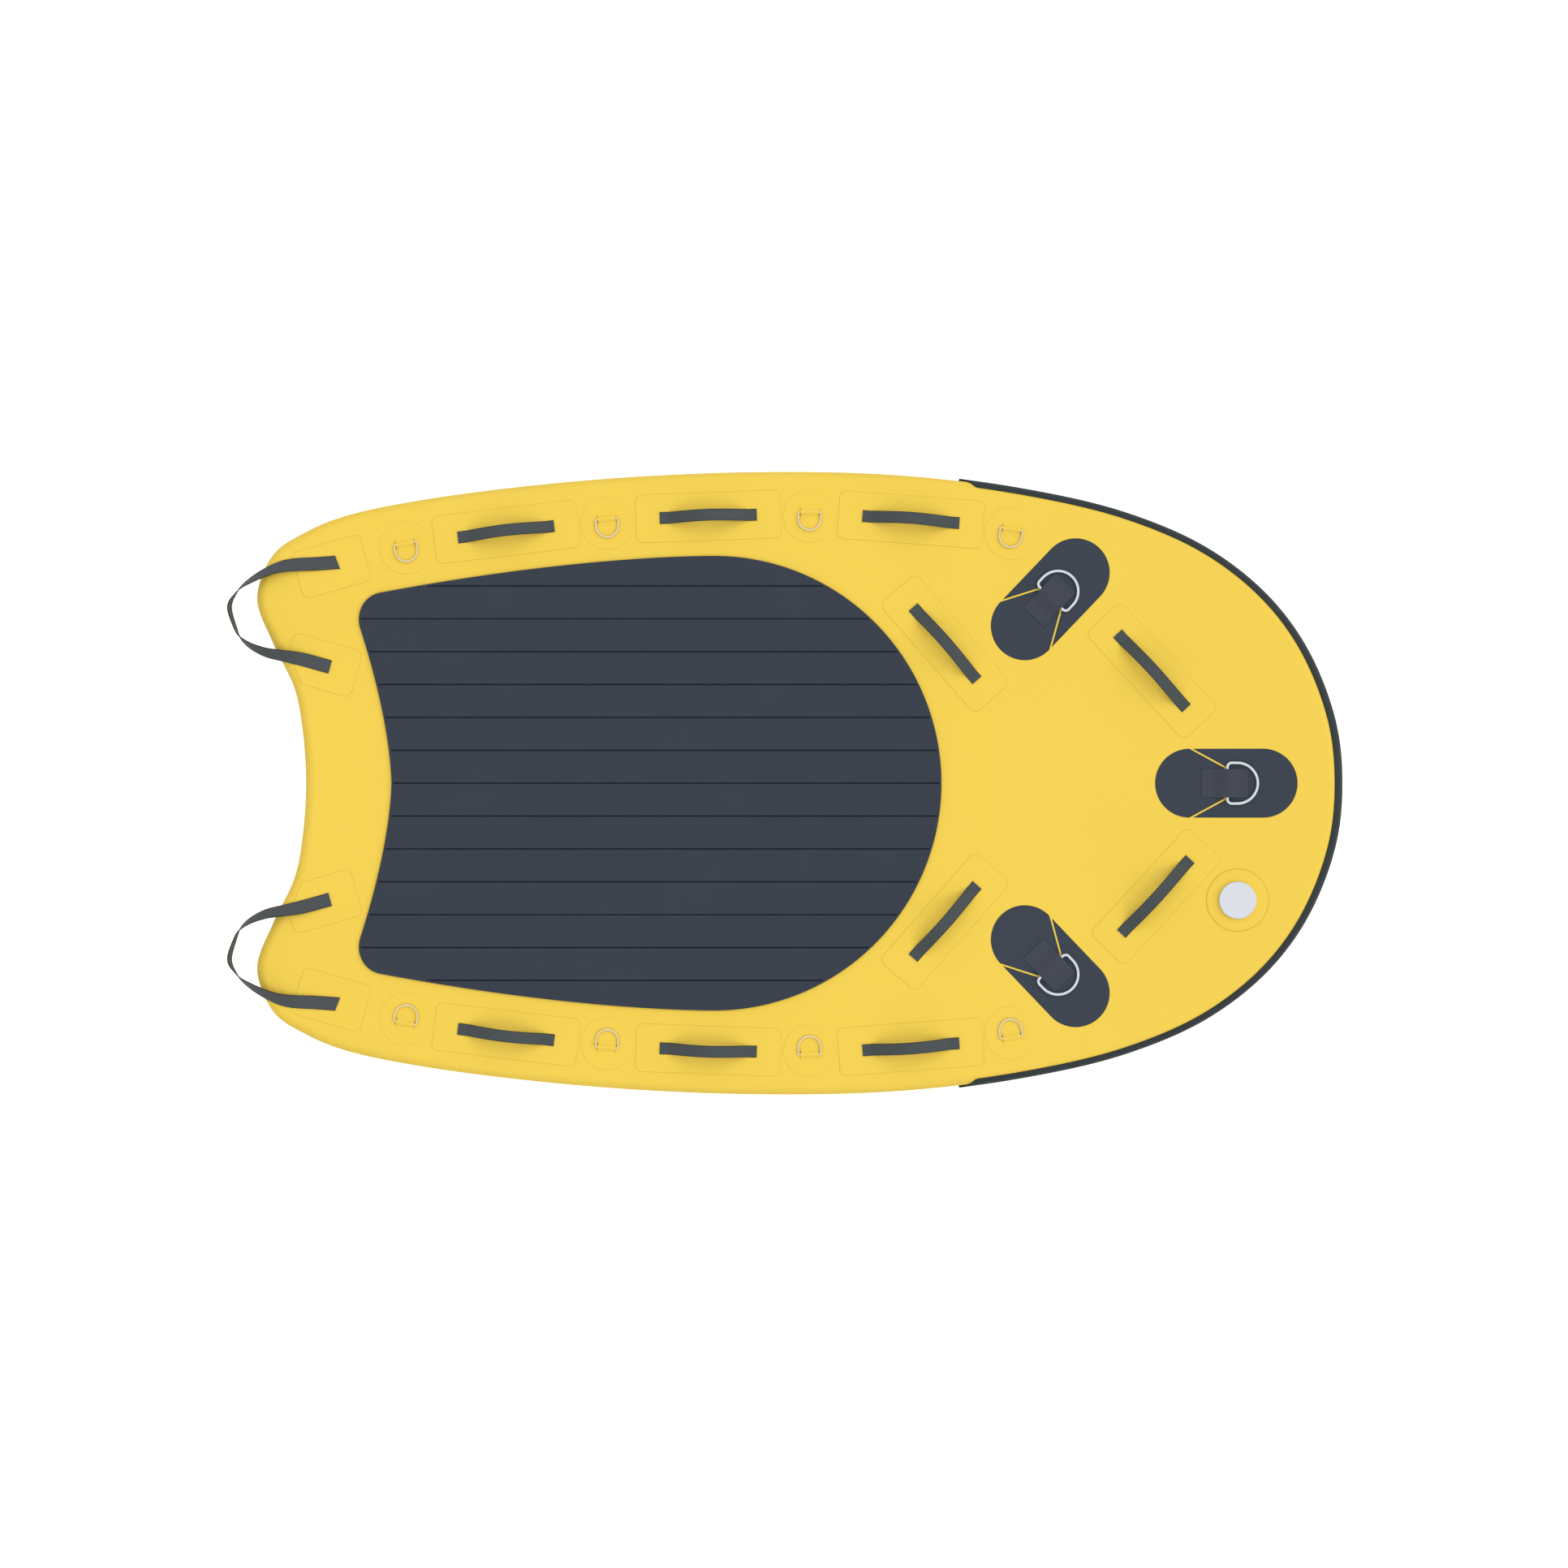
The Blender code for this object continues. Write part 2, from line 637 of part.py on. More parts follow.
def handle_strap():
    """Arched webbing handle on its own frame: flat feet, and room for a gloved hand between."""
    seat = FIT + PATCH + FIT + WEBBING / 2
    span = HANDLE_LENGTH - 2 * HANDLE_FOOT
    centres = [Vector((-HANDLE_LENGTH / 2, 0, seat))]
    for i in range(HANDLE_STEPS + 1):
        share = i / HANDLE_STEPS
        rise = HANDLE_ARCH * math.sin(math.pi * share) ** HANDLE_FULLNESS
        centres.append(Vector((span * (share - 0.5), 0, seat + rise)))
    centres.append(Vector((HANDLE_LENGTH / 2, 0, seat)))
    ups = []
    for i in range(len(centres)):
        along = centres[min(i + 1, len(centres) - 1)] - centres[max(i - 1, 0)]
        ups.append(along.cross(Vector((0, -1, 0))).normalized())
    return ribbon(centres, ups, WEBBING_WIDTH, WEBBING)


def make_handle(name, x, y, heading):
    """One grab handle with the patch that it is welded to."""
    frame = flat_frame(x, y, heading)
    outline = rounded_rectangle(HANDLE_PATCH_LENGTH, HANDLE_PATCH_WIDTH, PATCH_CORNER, 3)
    lay("handle_patch_" + name, plate(outline, FIT, FIT + PATCH), hull_fabric(), frame)
    lay("grab_handle_" + name, handle_strap(), webbing(), frame)


def make_stern_loop(side, sign, outline):
    """Twisted webbing loop past one tail, with a patch under each of its feet."""
    centre_y = LOOP_CENTRE * HALF_BEAM
    foot_x = STERN_X + LOOP_FOOT
    apex_twist = math.radians(max(twist for aft, out, twist in LOOP_ROUTE))
    reach = LOOP_FOOT + LOOP_OVERHANG - LOOP_WIDTH / 2 * abs(math.cos(apex_twist))
    controls = [Vector((foot_x - aft * reach, centre_y + out * LOOP_HALF_SPREAD))
                for aft, out, twist in LOOP_ROUTE]
    ahead = controls[0] * 2 - controls[1]
    behind = controls[-1] * 2 - controls[-2]
    curve = smooth_loop([ahead] + controls + [behind], LOOP_STEPS)
    curve = curve[LOOP_STEPS:LOOP_STEPS * len(controls) + 1]
    centres = []
    ups = []
    for i, point in enumerate(curve):
        before = LOOP_ROUTE[i // LOOP_STEPS][2]
        after = LOOP_ROUTE[min(i // LOOP_STEPS + 1, len(LOOP_ROUTE) - 1)][2]
        twist = math.radians(before + (after - before) * (i % LOOP_STEPS) / LOOP_STEPS)
        low_edge = LOOP_WIDTH / 2 * math.sin(twist) + WEBBING / 2 * abs(math.cos(twist))
        centres.append(Vector((point.x, point.y, DECK + 2 * FIT + PATCH + low_edge)))
        along = curve[min(i + 1, len(curve) - 1)] - curve[max(i - 1, 0)]
        outside = Vector((along.y, -along.x, 0)).normalized()
        ups.append(Vector((0, 0, math.cos(twist))) + outside * math.sin(twist))
    strap = ribbon(centres, ups, LOOP_WIDTH, WEBBING)
    mirror_to(strap, sign)
    place_mesh("stern_loop_" + side, strap, webbing())

    trimmed = moved_out(outline, -SIDE_BULGE - LOOP_PATCH_EDGE)
    for place, (ahead_of_tail, offset) in LOOP_PATCHES.items():
        tilt = LOOP_PATCH_TILT if offset > 0 else -LOOP_PATCH_TILT
        patch = plate(rounded_rectangle(LOOP_PATCH_LENGTH, LOOP_PATCH_WIDTH, PATCH_CORNER, 3),
                      FIT, FIT + PATCH)
        bmesh.ops.translate(patch, verts=patch.verts, vec=(-LOOP_PATCH_LENGTH / 2, 0, 0))
        frame = flat_frame(STERN_X + ahead_of_tail, centre_y + offset, tilt)
        bmesh.ops.transform(patch, matrix=frame, verts=patch.verts)
        patch = combine(patch, plate(trimmed, DECK - CUTTER, DECK + CUTTER), "INTERSECT")
        mirror_to(patch, sign)
        place_mesh("stern_loop_patch_" + side + "_" + place, patch, hull_fabric())


def mirror_to(bm, sign):
    """Carries a port piece over to starboard where sign is -1."""
    if sign < 0:
        bmesh.ops.scale(bm, verts=bm.verts, vec=(1, -1, 1))
        bmesh.ops.reverse_faces(bm, faces=bm.faces)


# Rings

def d_ring(width, depth, wire, corner, arc_steps, corner_steps, sides):
    """D-shaped ring with its bar on the Y axis and its bow towards +X."""
    half = (width - wire) / 2
    top = depth - wire
    path = arc((corner, half - corner), corner, 180, 90, corner_steps)
    path += arc((top - half, 0), half, 90, -90, arc_steps)
    path += arc((corner, corner - half), corner, 270, 180, corner_steps)
    path = [p for i, p in enumerate(path) if i == 0 or (p - path[i - 1]).length > 1e-5]
    rings = []
    count = len(path)
    for i, p in enumerate(path):
        before = (p - path[i - 1]).normalized()
        after = (path[(i + 1) % count] - p).normalized()
        along = (before + after).normalized()
        stretch = 1 / along.dot(after)
        out = Vector((along.y, -along.x, 0)) * stretch
        up = Vector((0, 0, 1))
        centre = Vector((p.x, p.y, 0))
        rings.append([centre + (out * math.cos(a) + up * math.sin(a)) * wire / 2
                      for a in (math.tau * (k + 0.5) / sides for k in range(sides))])
    return skin_rings(rings, True)


def tunnel_strap(width, thickness, wings, wire, steps):
    """Strap over a ring's bar on the Y axis, standing on z = 0, with a tunnel round the bar."""
    inner = (wire / 2 + BAR_CLEARANCE) / math.cos(math.pi / 2 / steps)
    axis_height = wire / 2 + BAR_CLEARANCE
    root = -STRAP_ROOT
    heel = inner + 2 * thickness
    over = arc((0, axis_height), inner + thickness, 180, 0, steps)
    under = arc((0, axis_height), inner, 0, 180, steps)
    section = [Vector((-wings[0], root)), Vector((-wings[0], thickness)),
               Vector((-heel, thickness))] + over
    section += [Vector((heel, thickness)), Vector((wings[1], thickness)),
                Vector((wings[1], root)), Vector((inner, root))] + under
    section.append(Vector((-inner, root)))
    bm = bmesh.new()
    face = bm.faces.new([bm.verts.new((p.x, -width / 2, p.y)) for p in section])
    raised = bmesh.ops.extrude_face_region(bm, geom=[face])
    far = [v for v in raised["geom"] if isinstance(v, bmesh.types.BMVert)]
    bmesh.ops.translate(bm, verts=far, vec=(0, width, 0))
    return bm


def make_deck_ring(name, x, y, heading):
    """Small D-ring with its bar under the tab of a round patch; heading is where its bow points."""
    patch = plate(circle(RING_PATCH_DIAMETER, 24), FIT, FIT + PATCH)
    tab = tunnel_strap(TAB_WIDTH, TAB, TAB_WINGS, RING_WIRE, 6)
    bmesh.ops.translate(tab, verts=tab.verts, vec=(-RING_OFFSET, 0, FIT + PATCH))
    lay("ring_patch_" + name, combine(patch, tab, "UNION"), hull_fabric(), flat_frame(x, y, heading))
    height = FIT + PATCH + RING_WIRE / 2 + BAR_CLEARANCE
    on_bar = Matrix.Translation((-RING_OFFSET, 0, height))
    ring = d_ring(RING_WIDTH, RING_DEPTH, RING_WIRE, RING_CORNER, arc_steps=8, corner_steps=2, sides=6)
    place_mesh("deck_ring_" + name, ring, steel(), rigid_frame(x, y, heading) @ on_bar)


def tow_patch():
    """Two-part patch of a towing ring: a teardrop that runs out to the strap, and a round base."""
    half = TOW_NECK_WIDTH / 2
    radius = TOW_PATCH_RADIUS
    neck = Vector((TOW_BAR - TOW_NECK_END, half))
    teardrop = arc((0, 0), radius, 90, 270, 16) + [Vector((neck.x, -half)), neck]
    shoulder = Vector((0, radius))
    slope = (neck - shoulder).normalized()
    shift = Vector((-slope.y, slope.x)) * TOW_NECK_GAP
    start = shoulder + shift
    start += slope * ((radius - start.y) / slope.y)
    root = neck + shift + slope * TOW_NECK_GAP
    base = arc((TOW_PATCH_SPAN, 0), radius, -90, 90, 16)
    base += [start, root, Vector((root.x, -root.y)), Vector((start.x, -start.y))]
    strap = tunnel_strap(TOW_STRAP_WIDTH, TOW_STRAP, TOW_STRAP_WINGS, TOW_WIRE, 6)
    bmesh.ops.translate(strap, verts=strap.verts, vec=(TOW_BAR, 0, FIT + PATCH))
    joined = combine(strap, plate(teardrop, FIT, FIT + PATCH), "UNION")
    joined = combine(joined, plate(base, FIT, FIT + PATCH), "UNION")
    bmesh.ops.translate(joined, verts=joined.verts, vec=(-TOW_PATCH_SPAN / 2, 0, 0))
    return joined


def make_tow_ring(name, x, y, heading):
    lay("tow_patch_" + name, tow_patch(), tow_fabric(), flat_frame(x, y, heading))
    height = FIT + PATCH + TOW_WIRE / 2 + BAR_CLEARANCE
    along = TOW_BAR - TOW_PATCH_SPAN / 2
    turn = math.radians(heading)
    frame = rigid_frame(x + along * math.cos(turn), y + along * math.sin(turn), heading)
    ring = d_ring(TOW_WIDTH, TOW_DEPTH, TOW_WIRE, TOW_CORNER, arc_steps=12, corner_steps=3, sides=6)
    place_mesh("tow_ring_" + name, ring, steel(), frame @ Matrix.Translation((0, 0, height)))


# Deck pad

def half_width(outline, x):
    """Half the width of the hull at x."""
    return max(a.y + (b.y - a.y) * (x - a.x) / (b.x - a.x)
               for a, b in zip(outline, outline[1:]) if (a.x - x) * (b.x - x) < 0)


def pad_outline(outline):
    """Port half of the pad from its front edge to the middle of its rear edge, then mirrored."""
    half = HALF_BEAM - ROW_INSET - HANDLE_PATCH_WIDTH / 2 - PAD_MARGIN
    centre_x = NOSE_X - PAD_FRONT - half
    stern_middle = NOSE_X - HULL_PLAN[-1][0] * HULL_LENGTH
    rear_x = stern_middle + PAD_STERN
    corner_x = rear_x - PAD_TAIL_SWEEP
    corner = Vector((corner_x, half_width(outline, corner_x) - PAD_TAIL_INSET))

    def side(share):
        drop = (half - corner.y) * share ** PAD_SIDE_POWER
        return Vector((centre_x + (corner.x - centre_x) * share, half - drop))

    def rear(share):
        sweep = PAD_TAIL_SWEEP * share ** PAD_REAR_POWER
        return Vector((rear_x - sweep, corner.y * share))

    side_end = 1 - PAD_CORNER / (centre_x - corner.x)
    rear_end = 1 - PAD_CORNER / corner.y
    step_back = 0.01
    port = arc((centre_x, 0), half, 0, 90, PAD_ARC_STEPS)
    port += [side(side_end * (i + 1) / PAD_SIDE_STEPS) for i in range(PAD_SIDE_STEPS)]
    port += blend_corner(side(side_end - step_back), side(side_end), rear(rear_end),
                         rear(rear_end - step_back), PAD_REAR_STEPS)
    port += [rear(rear_end * (1 - i / PAD_REAR_STEPS)) for i in range(PAD_REAR_STEPS + 1)]
    return port + [Vector((p.x, -p.y)) for p in reversed(port[1:-1])]


def blend_corner(before, start, end, after, steps):
    """Round corner between two curves, tangent to both, without its end points."""
    out = (start - before).normalized()
    back = (end - after).normalized()
    turn = out.angle(-back)
    reach = (end - start).length / 2 / math.sin(turn / 2) * 4 / 3 * math.tan(turn / 4)
    a = start + out * reach
    b = end + back * reach
    points = []
    for i in range(1, steps):
        t = i / steps
        points.append(start * (1 - t) ** 3 + a * 3 * t * (1 - t) ** 2 + b * 3 * t * t * (1 - t)
                      + end * t ** 3)
    return points


def make_pad(hull_line):
    """Grooved foam pad that the casualty lies on."""
    outline = pad_outline(hull_line)
    low = DECK + FIT
    high = low + PAD_THICKNESS
    pad = plate(outline, low, high)
    aft = min(p.x for p in outline) - CUTTER
    fore = max(p.x for p in outline) + CUTTER
    half = max(p.y for p in outline)
    count = int(half / GROOVE_PITCH)
    for k in range(-count, count + 1):
        y = k * GROOVE_PITCH
        groove = box((aft, y - GROOVE_WIDTH / 2, high - GROOVE_DEPTH),
                     (fore, y + GROOVE_WIDTH / 2, high + CUTTER))
        pad = combine(pad, groove, "DIFFERENCE")
    place_mesh("deck_pad", pad, pad_foam())


# Inflation valve

def make_valve():
    """Spring valve under a cap. Heights below are from the deck, along the valve's own axis."""
    x, y = behind_nose(*VALVE_PLACE)
    frame = rigid_frame(x, y, 0)
    bore = circle(NECK_DIAMETER + 2 * VALVE_CLEARANCE, VALVE_STEPS)
    hole = plate(bore, -CUTTER, CUTTER)
    patch = combine(plate(circle(VALVE_PATCH_DIAMETER, 32), FIT, FIT + PATCH), hole, "DIFFERENCE")
    lay("valve_patch", patch, hull_fabric(), flat_frame(x, y, 0))

    seat = 2 * FIT + PATCH
    top = seat + FLANGE
    place_mesh("valve_body", valve_body(seat, top), valve_plastic(), frame)

    button_top = top - BUTTON_DROP
    hub_top = top - SPIDER_DROP
    disc_top = seat - NECK_DEPTH - FIT
    place_mesh("valve_plunger", valve_plunger(button_top, disc_top), cap_plastic(), frame)
    make_spring(hub_top + FIT, button_top - BUTTON - FIT, frame)

    seal_low = top + FIT
    seal = lathe([(SEAL_RADII[0], seal_low), (SEAL_RADII[1], seal_low),
                  (SEAL_RADII[1], seal_low + SEAL), (SEAL_RADII[0], seal_low + SEAL)], VALVE_STEPS)
    place_mesh("valve_cap_seal", seal, seal_rubber(), frame)

    under = seal_low + SEAL + FIT
    outer = CAP_DIAMETER / 2
    inner = outer - CAP_WALL
    skirt = seat + VALVE_CLEARANCE
    cap = [(0, under), (inner, under), (inner, skirt), (outer, skirt)]
    cap += [(p.x, p.y) for p in arc((outer - CAP_ROUNDING, under + CAP_TOP - CAP_ROUNDING),
                                    CAP_ROUNDING, 0, 90, 3)]
    cap.append((0, under + CAP_TOP))
    place_mesh("valve_cap", lathe(cap, 32), cap_plastic(), frame)


def valve_body(seat, top):
    """Flange on the patch, neck through the deck, nut inside, seat and spider in the bore."""
    bottom = seat - NECK_DEPTH
    nut_top = -SKIN - FIT
    r_flange = FLANGE_DIAMETER / 2
    r_neck = NECK_DIAMETER / 2
    r_nut = NUT_DIAMETER / 2
    r_bore = NECK_BORE / 2
    profile = [(r_bore, top), (r_flange, top), (r_flange, seat), (r_neck, seat), (r_neck, nut_top),
               (r_nut, nut_top), (r_nut, nut_top - NUT), (r_neck, nut_top - NUT), (r_neck, bottom),
               (SEAT_BORE / 2, bottom), (SEAT_BORE / 2, bottom + SEAT), (r_bore, bottom + SEAT)]
    body = lathe(profile, VALVE_STEPS)
    high = top - SPIDER_DROP
    low = high - SPIDER
    hub = plate(circle(HUB_DIAMETER, 12), low, high)
    for k in range(3):
        spoke = box((0, -SPOKE / 2, low), ((r_bore + r_neck) / 2, SPOKE / 2, high))
        bmesh.ops.rotate(spoke, verts=spoke.verts, matrix=Matrix.Rotation(math.tau * k / 3, 3, "Z"))
        hub = combine(hub, spoke, "UNION")
    stem_hole = circle(STEM_DIAMETER + 2 * STEM_CLEARANCE, 12)
    hub = combine(hub, plate(stem_hole, low - CUTTER, high + CUTTER), "DIFFERENCE")
    return combine(body, hub, "UNION")


def valve_plunger(button_top, disc_top):
    """Disc that closes the seat from inside, on a stem with the button that a pump presses."""
    r_stem = STEM_DIAMETER / 2
    button_low = button_top - BUTTON
    profile = [(0, button_top), (BUTTON_DIAMETER / 2, button_top), (BUTTON_DIAMETER / 2, button_low),
               (r_stem, button_low), (r_stem, disc_top), (DISC_DIAMETER / 2, disc_top),
               (DISC_DIAMETER / 2, disc_top - DISC), (0, disc_top - DISC)]
    return lathe(profile, 18)


def make_spring(low, high, frame):
    """Open coil between the spider and the button, one unbroken wire."""
    points_a_turn = 9
    count = SPRING_TURNS * points_a_turn
    radius = (SPRING_DIAMETER - SPRING_WIRE) / 2
    wire = SPRING_WIRE / 2
    curve = bpy.data.curves.new("valve_spring", "CURVE")
    curve.dimensions = "3D"
    curve.bevel_depth = wire
    curve.bevel_resolution = 1
    curve.render_resolution_u = 0
    curve.use_fill_caps = True
    spline = curve.splines.new("POLY")
    spline.points.add(count)
    for i, point in enumerate(spline.points):
        angle = math.tau * i / points_a_turn
        z = low + wire + (high - low - 2 * wire) * i / count
        point.co = (radius * math.cos(angle), radius * math.sin(angle), z, 1)
    curve.materials.append(steel())
    spring = bpy.data.objects.new("valve_spring", curve)
    spring.matrix_world = frame
    bpy.context.scene.collection.objects.link(spring)
    print("valve spring's least gap between turns, mm:",
          round(((high - low - 2 * wire) / SPRING_TURNS - SPRING_WIRE) * 1000, 2))


# Deck fittings

def reach_at(line, reach, x):
    """Length along a line, given at its points, where it passes x on its way to the bow."""
    i = next(j for j in range(1, len(line)) if line[j].x > x)
    share = (x - line[i - 1].x) / (line[i].x - line[i - 1].x)
    return reach[i - 1] + (reach[i] - reach[i - 1]) * share


def row_places(outline):
    """Places along the port side, from the aft ring to the fore one: (kind, number, x, y, heading)."""
    port = [p for p in outline if p.y >= 0]
    line = [p for p in moved_out(port, -ROW_INSET, closed=False) if p.x > STERN_X + LOOP_FOOT / 2]
    line.reverse()
    middle_x = NOSE_X - ROW_MIDDLE * HULL_LENGTH
    reach = [0.0]
    for a, b in zip(line, line[1:]):
        reach.append(reach[-1] + (b - a).length)
    middle = reach_at(line, reach, middle_x)
    room = reach_at(line, reach, NOSE_X - ROW_FORE) - reach_at(line, reach, STERN_X + ROW_AFT)
    handles = int((room - RING_PATCH_DIAMETER) / (2 * ROW_PITCH))
    places = []
    for k in range(2 * handles + 1):
        name = str(k // 2 + 1)
        target = middle + (k - handles) * ROW_PITCH
        i = next(j for j in range(1, len(line)) if reach[j] > target)
        share = (target - reach[i - 1]) / (reach[i] - reach[i - 1])
        point = line[i - 1].lerp(line[i], share)
        along = (line[i] - line[i - 1]).normalized()
        if k % 2 == 0:
            inboard = Vector((along.y, -along.x))
            point = point + inboard * (RING_INSET - ROW_INSET)
            heading = math.degrees(math.atan2(inboard.y, inboard.x))
            places.append(("ring", name, point.x, point.y, heading))
        else:
            heading = math.degrees(math.atan2(along.y, along.x))
            places.append(("handle", name, point.x, point.y, heading))
    return places


def make_fittings(outline):
    """Everything bonded to the deck in pairs, port and starboard, and the towing rings."""
    places = row_places(outline)
    for kind, name, x, y, heading in places:
        for side, sign in (("port", 1), ("starboard", -1)):
            make = make_deck_ring if kind == "ring" else make_handle
            make(side + "_" + name, x, sign * y, sign * heading)
    for name, (distance, share, heading) in INNER_HANDLES.items():
        x, y = behind_nose(distance, share)
        make_handle(name, x, y, heading)
    for name, (distance, share, heading) in TOW_PLACES.items():
        x, y = behind_nose(distance, share)
        make_tow_ring(name, x, y, heading)
    for side, sign in (("port", 1), ("starboard", -1)):
        make_stern_loop(side, sign, outline)


def main():
    for leftover in list(bpy.data.objects):
        bpy.data.objects.remove(leftover, do_unlink=True)
    outline = hull_outline()
    make_hull(outline)
    make_strake(outline)
    make_pad(outline)
    make_fittings(outline)
    make_valve()


main()
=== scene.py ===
import json
import math

import bmesh
import bpy
from mathutils import Matrix, Vector


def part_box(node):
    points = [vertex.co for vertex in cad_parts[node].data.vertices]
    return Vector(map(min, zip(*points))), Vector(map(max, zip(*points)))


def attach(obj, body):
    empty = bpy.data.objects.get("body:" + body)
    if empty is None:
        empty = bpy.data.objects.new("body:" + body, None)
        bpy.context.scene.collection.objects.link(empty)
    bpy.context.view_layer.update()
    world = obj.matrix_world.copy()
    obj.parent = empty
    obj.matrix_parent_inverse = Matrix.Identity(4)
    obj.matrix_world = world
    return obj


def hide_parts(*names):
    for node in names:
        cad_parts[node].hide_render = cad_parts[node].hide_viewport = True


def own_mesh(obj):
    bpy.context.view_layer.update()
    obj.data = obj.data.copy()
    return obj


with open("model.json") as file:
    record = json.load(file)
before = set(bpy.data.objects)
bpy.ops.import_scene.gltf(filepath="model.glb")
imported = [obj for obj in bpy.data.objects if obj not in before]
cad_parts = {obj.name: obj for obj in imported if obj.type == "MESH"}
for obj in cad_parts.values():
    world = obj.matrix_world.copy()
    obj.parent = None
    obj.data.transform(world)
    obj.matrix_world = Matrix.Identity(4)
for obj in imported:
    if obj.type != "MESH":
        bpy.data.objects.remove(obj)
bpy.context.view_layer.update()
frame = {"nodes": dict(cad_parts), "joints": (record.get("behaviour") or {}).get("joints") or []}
scene = bpy.context.scene

# Camera
# Straight above the sled, with the bow to the right and port at the top.
LENS = 73.17
SENSOR = 36.0
CAMERA_PLACE = (-0.0077, -0.0017, 6.845)

camera = bpy.data.cameras.new("camera")
camera.lens = LENS
camera.sensor_width = SENSOR
viewpoint = bpy.data.objects.new("camera", camera)
viewpoint.location = CAMERA_PLACE
scene.collection.objects.link(viewpoint)
scene.camera = viewpoint

# Studio
# A pale floor whose glow brings it to white in the picture alone, an even white sky, and one very broad
# soft lamp that leans to the bow and a little to port. They light a level surface at about strength 1.
SKY = 0.60
LAMP_SPREAD = 90
LAMP_STRENGTH = 1.41
LAMP_DIRECTION = (0.40, 0.10, 1.0)
FLOOR_GREY = 0.80
FLOOR_GLOW = 0.70
FLOOR_SIDE = 40.0


def linear(colour):
    """Linear RGBA of an sRGB hex colour."""
    channels = [int(colour[i:i + 2], 16) / 255 for i in (0, 2, 4)]
    return [c / 12.92 if c <= 0.04045 else ((c + 0.055) / 1.055) ** 2.4 for c in channels] + [1.0]


def add_node(tree, kind, settings=None, links=None):
    """Adds a node: small-letter settings are its own, others are sockets, by name or by number."""
    node = tree.nodes.new(kind)
    for name, value in (settings or {}).items():
        if isinstance(name, str) and name.islower():
            setattr(node, name, value)
        else:
            node.inputs[name].default_value = value
    for socket, source in (links or {}).items():
        tree.links.new(source, node.inputs[socket])
    return node


def seen_white(tree, hidden, shown):
    """Strength that is one value for light on surfaces and another for what the picture shows."""
    path = add_node(tree, "ShaderNodeLightPath").outputs
    seen = add_node(tree, "ShaderNodeMath", {"operation": "MAXIMUM"},
                    {0: path["Is Camera Ray"], 1: path["Is Glossy Ray"]})
    seen = add_node(tree, "ShaderNodeMath", {"operation": "MAXIMUM"},
                    {0: seen.outputs[0], 1: path["Is Transmission Ray"]})
    return add_node(tree, "ShaderNodeMath", {"operation": "MULTIPLY_ADD", 1: shown - hidden, 2: hidden},
                    {0: seen.outputs[0]}).outputs[0]


world = bpy.data.worlds.new("even_sky")
world.use_nodes = True
world.node_tree.nodes.clear()
sky = add_node(world.node_tree, "ShaderNodeBackground", {"Color": (1, 1, 1, 1)},
               {"Strength": seen_white(world.node_tree, SKY, 1.0)})
add_node(world.node_tree, "ShaderNodeOutputWorld", links={"Surface": sky.outputs[0]})
scene.world = world

paint = bpy.data.materials.new("white_floor_paint")
paint.use_nodes = True
paint.node_tree.nodes.clear()
matt = add_node(paint.node_tree, "ShaderNodeBsdfDiffuse", {"Color": (FLOOR_GREY, FLOOR_GREY, FLOOR_GREY, 1)})
glow = add_node(paint.node_tree, "ShaderNodeEmission", {"Color": (1, 1, 1, 1)},
                {"Strength": seen_white(paint.node_tree, 0.0, FLOOR_GLOW)})
both = add_node(paint.node_tree, "ShaderNodeAddShader", links={0: matt.outputs[0], 1: glow.outputs[0]})
add_node(paint.node_tree, "ShaderNodeOutputMaterial", links={"Surface": both.outputs[0]})
sheet = bmesh.new()
bmesh.ops.create_grid(sheet, x_segments=1, y_segments=1, size=FLOOR_SIDE / 2)
floor_mesh = bpy.data.meshes.new("floor")
sheet.to_mesh(floor_mesh)
sheet.free()
floor_mesh.materials.append(paint)
floor = bpy.data.objects.new("floor", floor_mesh)
scene.collection.objects.link(floor)

lamp = bpy.data.lights.new("soft_lamp", "SUN")
lamp.angle = math.radians(LAMP_SPREAD)
lamp.energy = LAMP_STRENGTH
lamp_stand = bpy.data.objects.new("soft_lamp", lamp)
lamp_stand.location = LAMP_DIRECTION
lamp_stand.rotation_euler = Vector(LAMP_DIRECTION).to_track_quat("Z", "Y").to_euler()
lamp_stand.visible_glossy = False
scene.collection.objects.link(lamp_stand)
scene.view_settings.view_transform = "Standard"

# Drop-stitch core
# Two woven polyester faces tied by thousands of yarns of one length, which keep deck and bottom flat
# and parallel under pressure. It is closed in on all sides, so its yarns are drawn far apart.
HULL_LENGTH = 2.291
THICKNESS = 0.150
SKIN = 0.0015
SIDE_BULGE = 0.013
SIDE_LAP = 0.025
ROCKER_LENGTH = 0.770
ROCKER_HEIGHT = 0.045
BEND_STRIP = 0.030              # the bow's arc is drawn in flat strips of this length
FIT = 0.0003                    # room between pieces that lie on each other
SAME = 1e-6                     # points closer than this are one point
SHARP = 40                      # degrees between faces past which an edge isn't shaded smooth
SCRIM = 0.0008
YARN = 0.0012
YARN_PITCH = 0.060
YARN_TWIST = 1 / 900
CORE_MARGIN = 0.004
NUT_ROOM = 0.076
NUT_ROOM_STEPS = 32
OUTLINE_STEPS = 12
